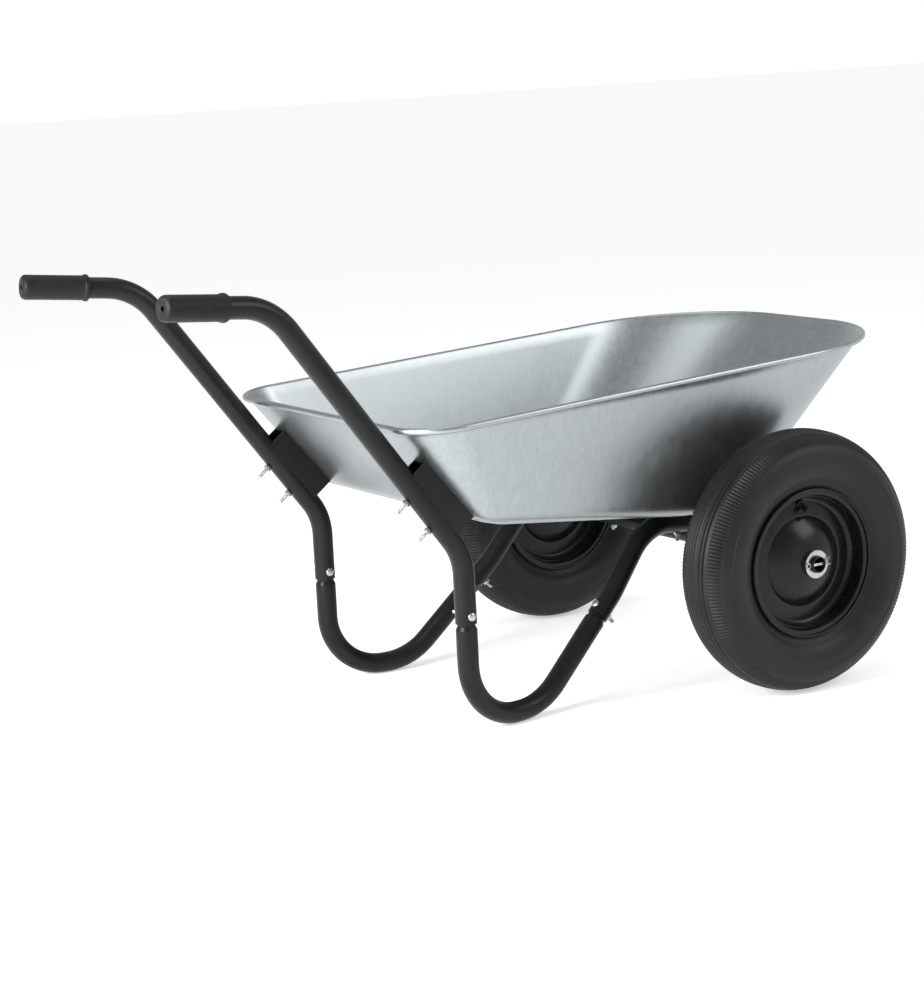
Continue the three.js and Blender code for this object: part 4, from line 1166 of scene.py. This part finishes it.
def valve_cap(label, side):
    elbow, lean = valve_line(side)
    foot = elbow + lean * VALVE_STEM
    inside = [(0, 9.6), (3.1, 9.6), (3.1, 0.3)]
    skirt = [(4.1, 0.3), (4.3, 0.8), (4.3, 7.4)]
    profile = inside + skirt + [(3.8, 8.2), (3.6, 10.2), (2.9, 11.0), (0, 11.1)]
    grid = turned_grid(profile, foot, lean, 64)
    knurl = 1 - 0.05 * (np.arange(64) % 4 > 1)
    for row in (4, 5):
        centre = foot + lean * profile[row][1]
        grid[row] = centre + (grid[row] - centre) * knurl[:, None]
    return skin(f"knurled_valve_cap_{label}", grid, body=f"{label}_wheel")


for label, side in SIDES:
    air_tube = wheel_piece("air_tube", inner_tube_profile(), label, side, 96)
    finish_piece(air_tube, BUTYL, "inner_tube_rubber", f"inner_tube_{label}")
    finish_piece(valve_stem(label, side), BUTYL, "inner_tube_rubber")
    finish_piece(grommet(label, side), BUTYL, "inner_tube_rubber")
    finish_piece(valve_cap(label, side), GRIP, "grip_plastic", f"valve_cap_{label}")

# %% [markdown]
# The axle is a plain tube with a collar welded on inside each wheel. Outside, a washer and a split pin
# through the tube keep the wheel on. The pin is one folded wire: an eye at the back, two legs that lie
# together across the hollow tube, and tips in front, of which the upper one is bent up.

# %% Axle, washers and split pins
HUB_END = HUB_HALF + BUSH_FLANGE + 2 * FIT
WASHER, WASHER_THICK = 21.5, 2.5
COLLAR, COLLAR_WIDTH = 19.0, 5
PIN_WIRE, PIN_BORE, PIN_BESIDE_WASHER = 1.1, 1.6, 0.5
WASHER_END = HUB_END + FIT + WASHER_THICK
PIN_OFFSET = WASHER_END + FIT + PIN_BORE + PIN_BESIDE_WASHER
AXLE_HALF = float(axle_high.y - AXLE_MIDDLE[1]) / MM


def axle_piece():
    bore = AXLE - AXLE_WALL
    collar_out = HALF_TRACK - HUB_END - FIT
    collar_in = collar_out - COLLAR_WIDTH
    collar = [(AXLE, collar_out), (COLLAR, collar_out), (COLLAR, collar_in), (AXLE, collar_in)]
    half = [(AXLE, AXLE_HALF), *collar]
    corners = [(bore, AXLE_HALF), *half, *[(r, -y) for r, y in half[::-1]], (bore, -AXLE_HALF)]
    return turned("axle_tube", rounded(corners, 0.5, 3), (0, 0, 0), LEFTWARD, 64)


def split_pin(label, side):
    y = side * (HALF_TRACK + PIN_OFFSET)
    upper = [(AXLE + 9.5, 9.0), (AXLE + 2.5, PIN_WIRE), (-AXLE - 2.0, PIN_WIRE)]
    eye = [(-AXLE - 4.5, 3.6), (-AXLE - 9.0, 3.6), (-AXLE - 9.0, -3.6), (-AXLE - 4.5, -3.6)]
    lower = [(-AXLE - 2.0, -PIN_WIRE), (AXLE + 2.0, -PIN_WIRE), (AXLE + 11.0, -2.4)]
    corners = [(x, y, z) for x, z in upper + eye + lower]
    radii = [3, 1, 1.6, 1.9, 1.9, 1.6, 1, 3]
    return wire(f"split_pin_wire_{label}", bent_run(corners, radii), PIN_WIRE)


finish_piece(axle_piece(), POWDER, "frame_paint", "axle")
for label, side in SIDES:
    middle, outward = wheel_axes(side)
    collar_face = middle - outward * (HUB_END + FIT + COLLAR_WIDTH)
    bead = weld(f"collar_weld_{label}", collar_face, outward, AXLE + 1.0, 1.8, "barrow", 22)
    finish_piece(bead, POWDER, "frame_paint")
    bore = AXLE + FIT
    section = rounded([(bore, 0), (WASHER, 0), (WASHER, WASHER_THICK), (bore, WASHER_THICK)], 0.5)
    washer = turned(f"zinc_washer_{label}", section, middle + outward * (HUB_END + FIT), outward, 64)
    finish_piece(washer, ZINC, "zinc_hardware", f"washer_{label}")
    finish_piece(split_pin(label, side), ZINC, "zinc_hardware", f"split_pin_{label}")

# %% [markdown]
# The stage is as plain as a catalogue's: a white floor that glows a little, so that it meets the white
# horizon with no line, and soft boxes. The tray's walls lean outwards, so each is a mirror of the floor: a
# box behind lights the floor there, and that patch is the bright band down the tray's near corner.

# %% Floor and light
FLOOR_GLOW, FLOOR_REACH, FLOOR_DROP = 0.46, 30.0, 0.0005
WHITE = (1.0, 1.0, 1.0, 1.0)


def stage_floor():
    constants = {"Roughness": 0.9, "Specular_IOR_Level": 0.1, "Emission_Color": WHITE}
    finish = Finish("pale_floor", Emission_Strength=FLOOR_GLOW, **constants)
    cloud = finish.noise(0.8, 2.0)
    finish.tint(cloud, (0.86, 0.86, 0.86), (0.88, 0.88, 0.88))
    corners = [(x * FLOOR_REACH, y * FLOOR_REACH, 0) for x, y in ((-1, -1), (1, -1), (1, 1), (-1, 1))]
    mesh = bpy.data.meshes.new("floor")
    mesh.from_pydata(corners, [], [(0, 1, 2, 3)])
    floor = bpy.data.objects.new("floor", mesh)
    bpy.context.scene.collection.objects.link(floor)
    floor.data.materials.append(finish.material)
    floor.location.z = -FLOOR_DROP
    floor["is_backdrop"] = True


def soft_box(name, place, target, size, power):
    lamp = bpy.data.lights.new(name, "AREA")
    lamp.shape = "RECTANGLE"
    lamp.size, lamp.size_y = size
    lamp.energy = power
    box = bpy.data.objects.new(name, lamp)
    bpy.context.scene.collection.objects.link(box)
    box.location = place
    box.rotation_euler = (Vector(target) - Vector(place)).to_track_quat("-Z", "Y").to_euler()


def graded_world(horizon, overhead, height):
    """A white world, bright at the horizon and dimmer above a height, where the black tubes mirror it."""
    world = bpy.data.worlds.new("studio")
    world.use_nodes = True
    nodes, links = world.node_tree.nodes, world.node_tree.links
    where = nodes.new("ShaderNodeTexCoord")
    parts = nodes.new("ShaderNodeSeparateXYZ")
    links.new(where.outputs["Generated"], parts.inputs[0])
    grade = nodes.new("ShaderNodeMapRange")
    grade.interpolation_type = "SMOOTHSTEP"
    for socket, value in (("From Max", height), ("To Min", horizon), ("To Max", overhead)):
        grade.inputs[socket].default_value = value
    links.new(parts.outputs["Z"], grade.inputs["Value"])
    links.new(grade.outputs[0], nodes["Background"].inputs["Strength"])
    nodes["Background"].inputs["Color"].default_value = WHITE
    bpy.context.scene.world = world


stage_floor()
graded_world(horizon=1.02, overhead=0.5, height=0.55)
soft_box("corner_box", (-1.8, -0.35, 0.95), (-0.66, -0.3, 0.0), (1.0, 0.8), 58)
soft_box("nose_box", (1.9, -2.1, 2.2), (0.1, 0.0, 0.3), (1.6, 1.6), 34)
soft_box("top_box", (0.0, 0.6, 3.4), (0.1, 0.0, 0.3), (1.8, 1.8), 22)

# %% [markdown]
# The camera stands behind and to the right of the barrow, a little above the handles, and is held with a
# slight tilt. Its direction is built from three angles; a long lens keeps the perspective calm.

# %% Camera
def camera(place, azimuth, elevation, roll, lens):
    """Azimuth and elevation say where the camera stands as seen from the object; roll tips its frame."""
    a, e, r = (math.radians(v) for v in (azimuth, elevation, roll))
    back = np.array((math.sin(a) * math.cos(e), -math.cos(a) * math.cos(e), math.sin(e)))
    right = unit(np.cross(-back, UP))
    upright = np.cross(right, -back)
    x_axis = math.cos(r) * right + math.sin(r) * upright
    y_axis = -math.sin(r) * right + math.cos(r) * upright
    data = bpy.data.cameras.new("camera")
    data.sensor_width = 36.0
    data.lens = lens
    data.clip_end = 200.0
    made = bpy.data.objects.new("camera", data)
    bpy.context.scene.collection.objects.link(made)
    made.matrix_world = Matrix(np.column_stack([x_axis, y_axis, back, place]).tolist() + [[0, 0, 0, 1]])
    bpy.context.scene.camera = made


camera_place = np.array((-2.369, -3.173, 1.0155)) + AXLE_MIDDLE * (1, 1, 0)
camera(camera_place, azimuth=-32.03, elevation=10.78, roll=-2.90, lens=89.16)
print("camera at, metres:", camera_place.round(3))
bpy.context.scene.view_settings.view_transform = "Standard"

# %% [markdown]
# Last, the sizes.

# %% Print the sizes of the imported and the rebuilt model
visual_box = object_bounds()
sizes = {"cad": [list(corner) for corner in cad_box], "visual": [list(corner) for corner in visual_box]}
for name, corners in sizes.items():
    print(name, [[round(v, 4) for v in corner] for corner in corners])
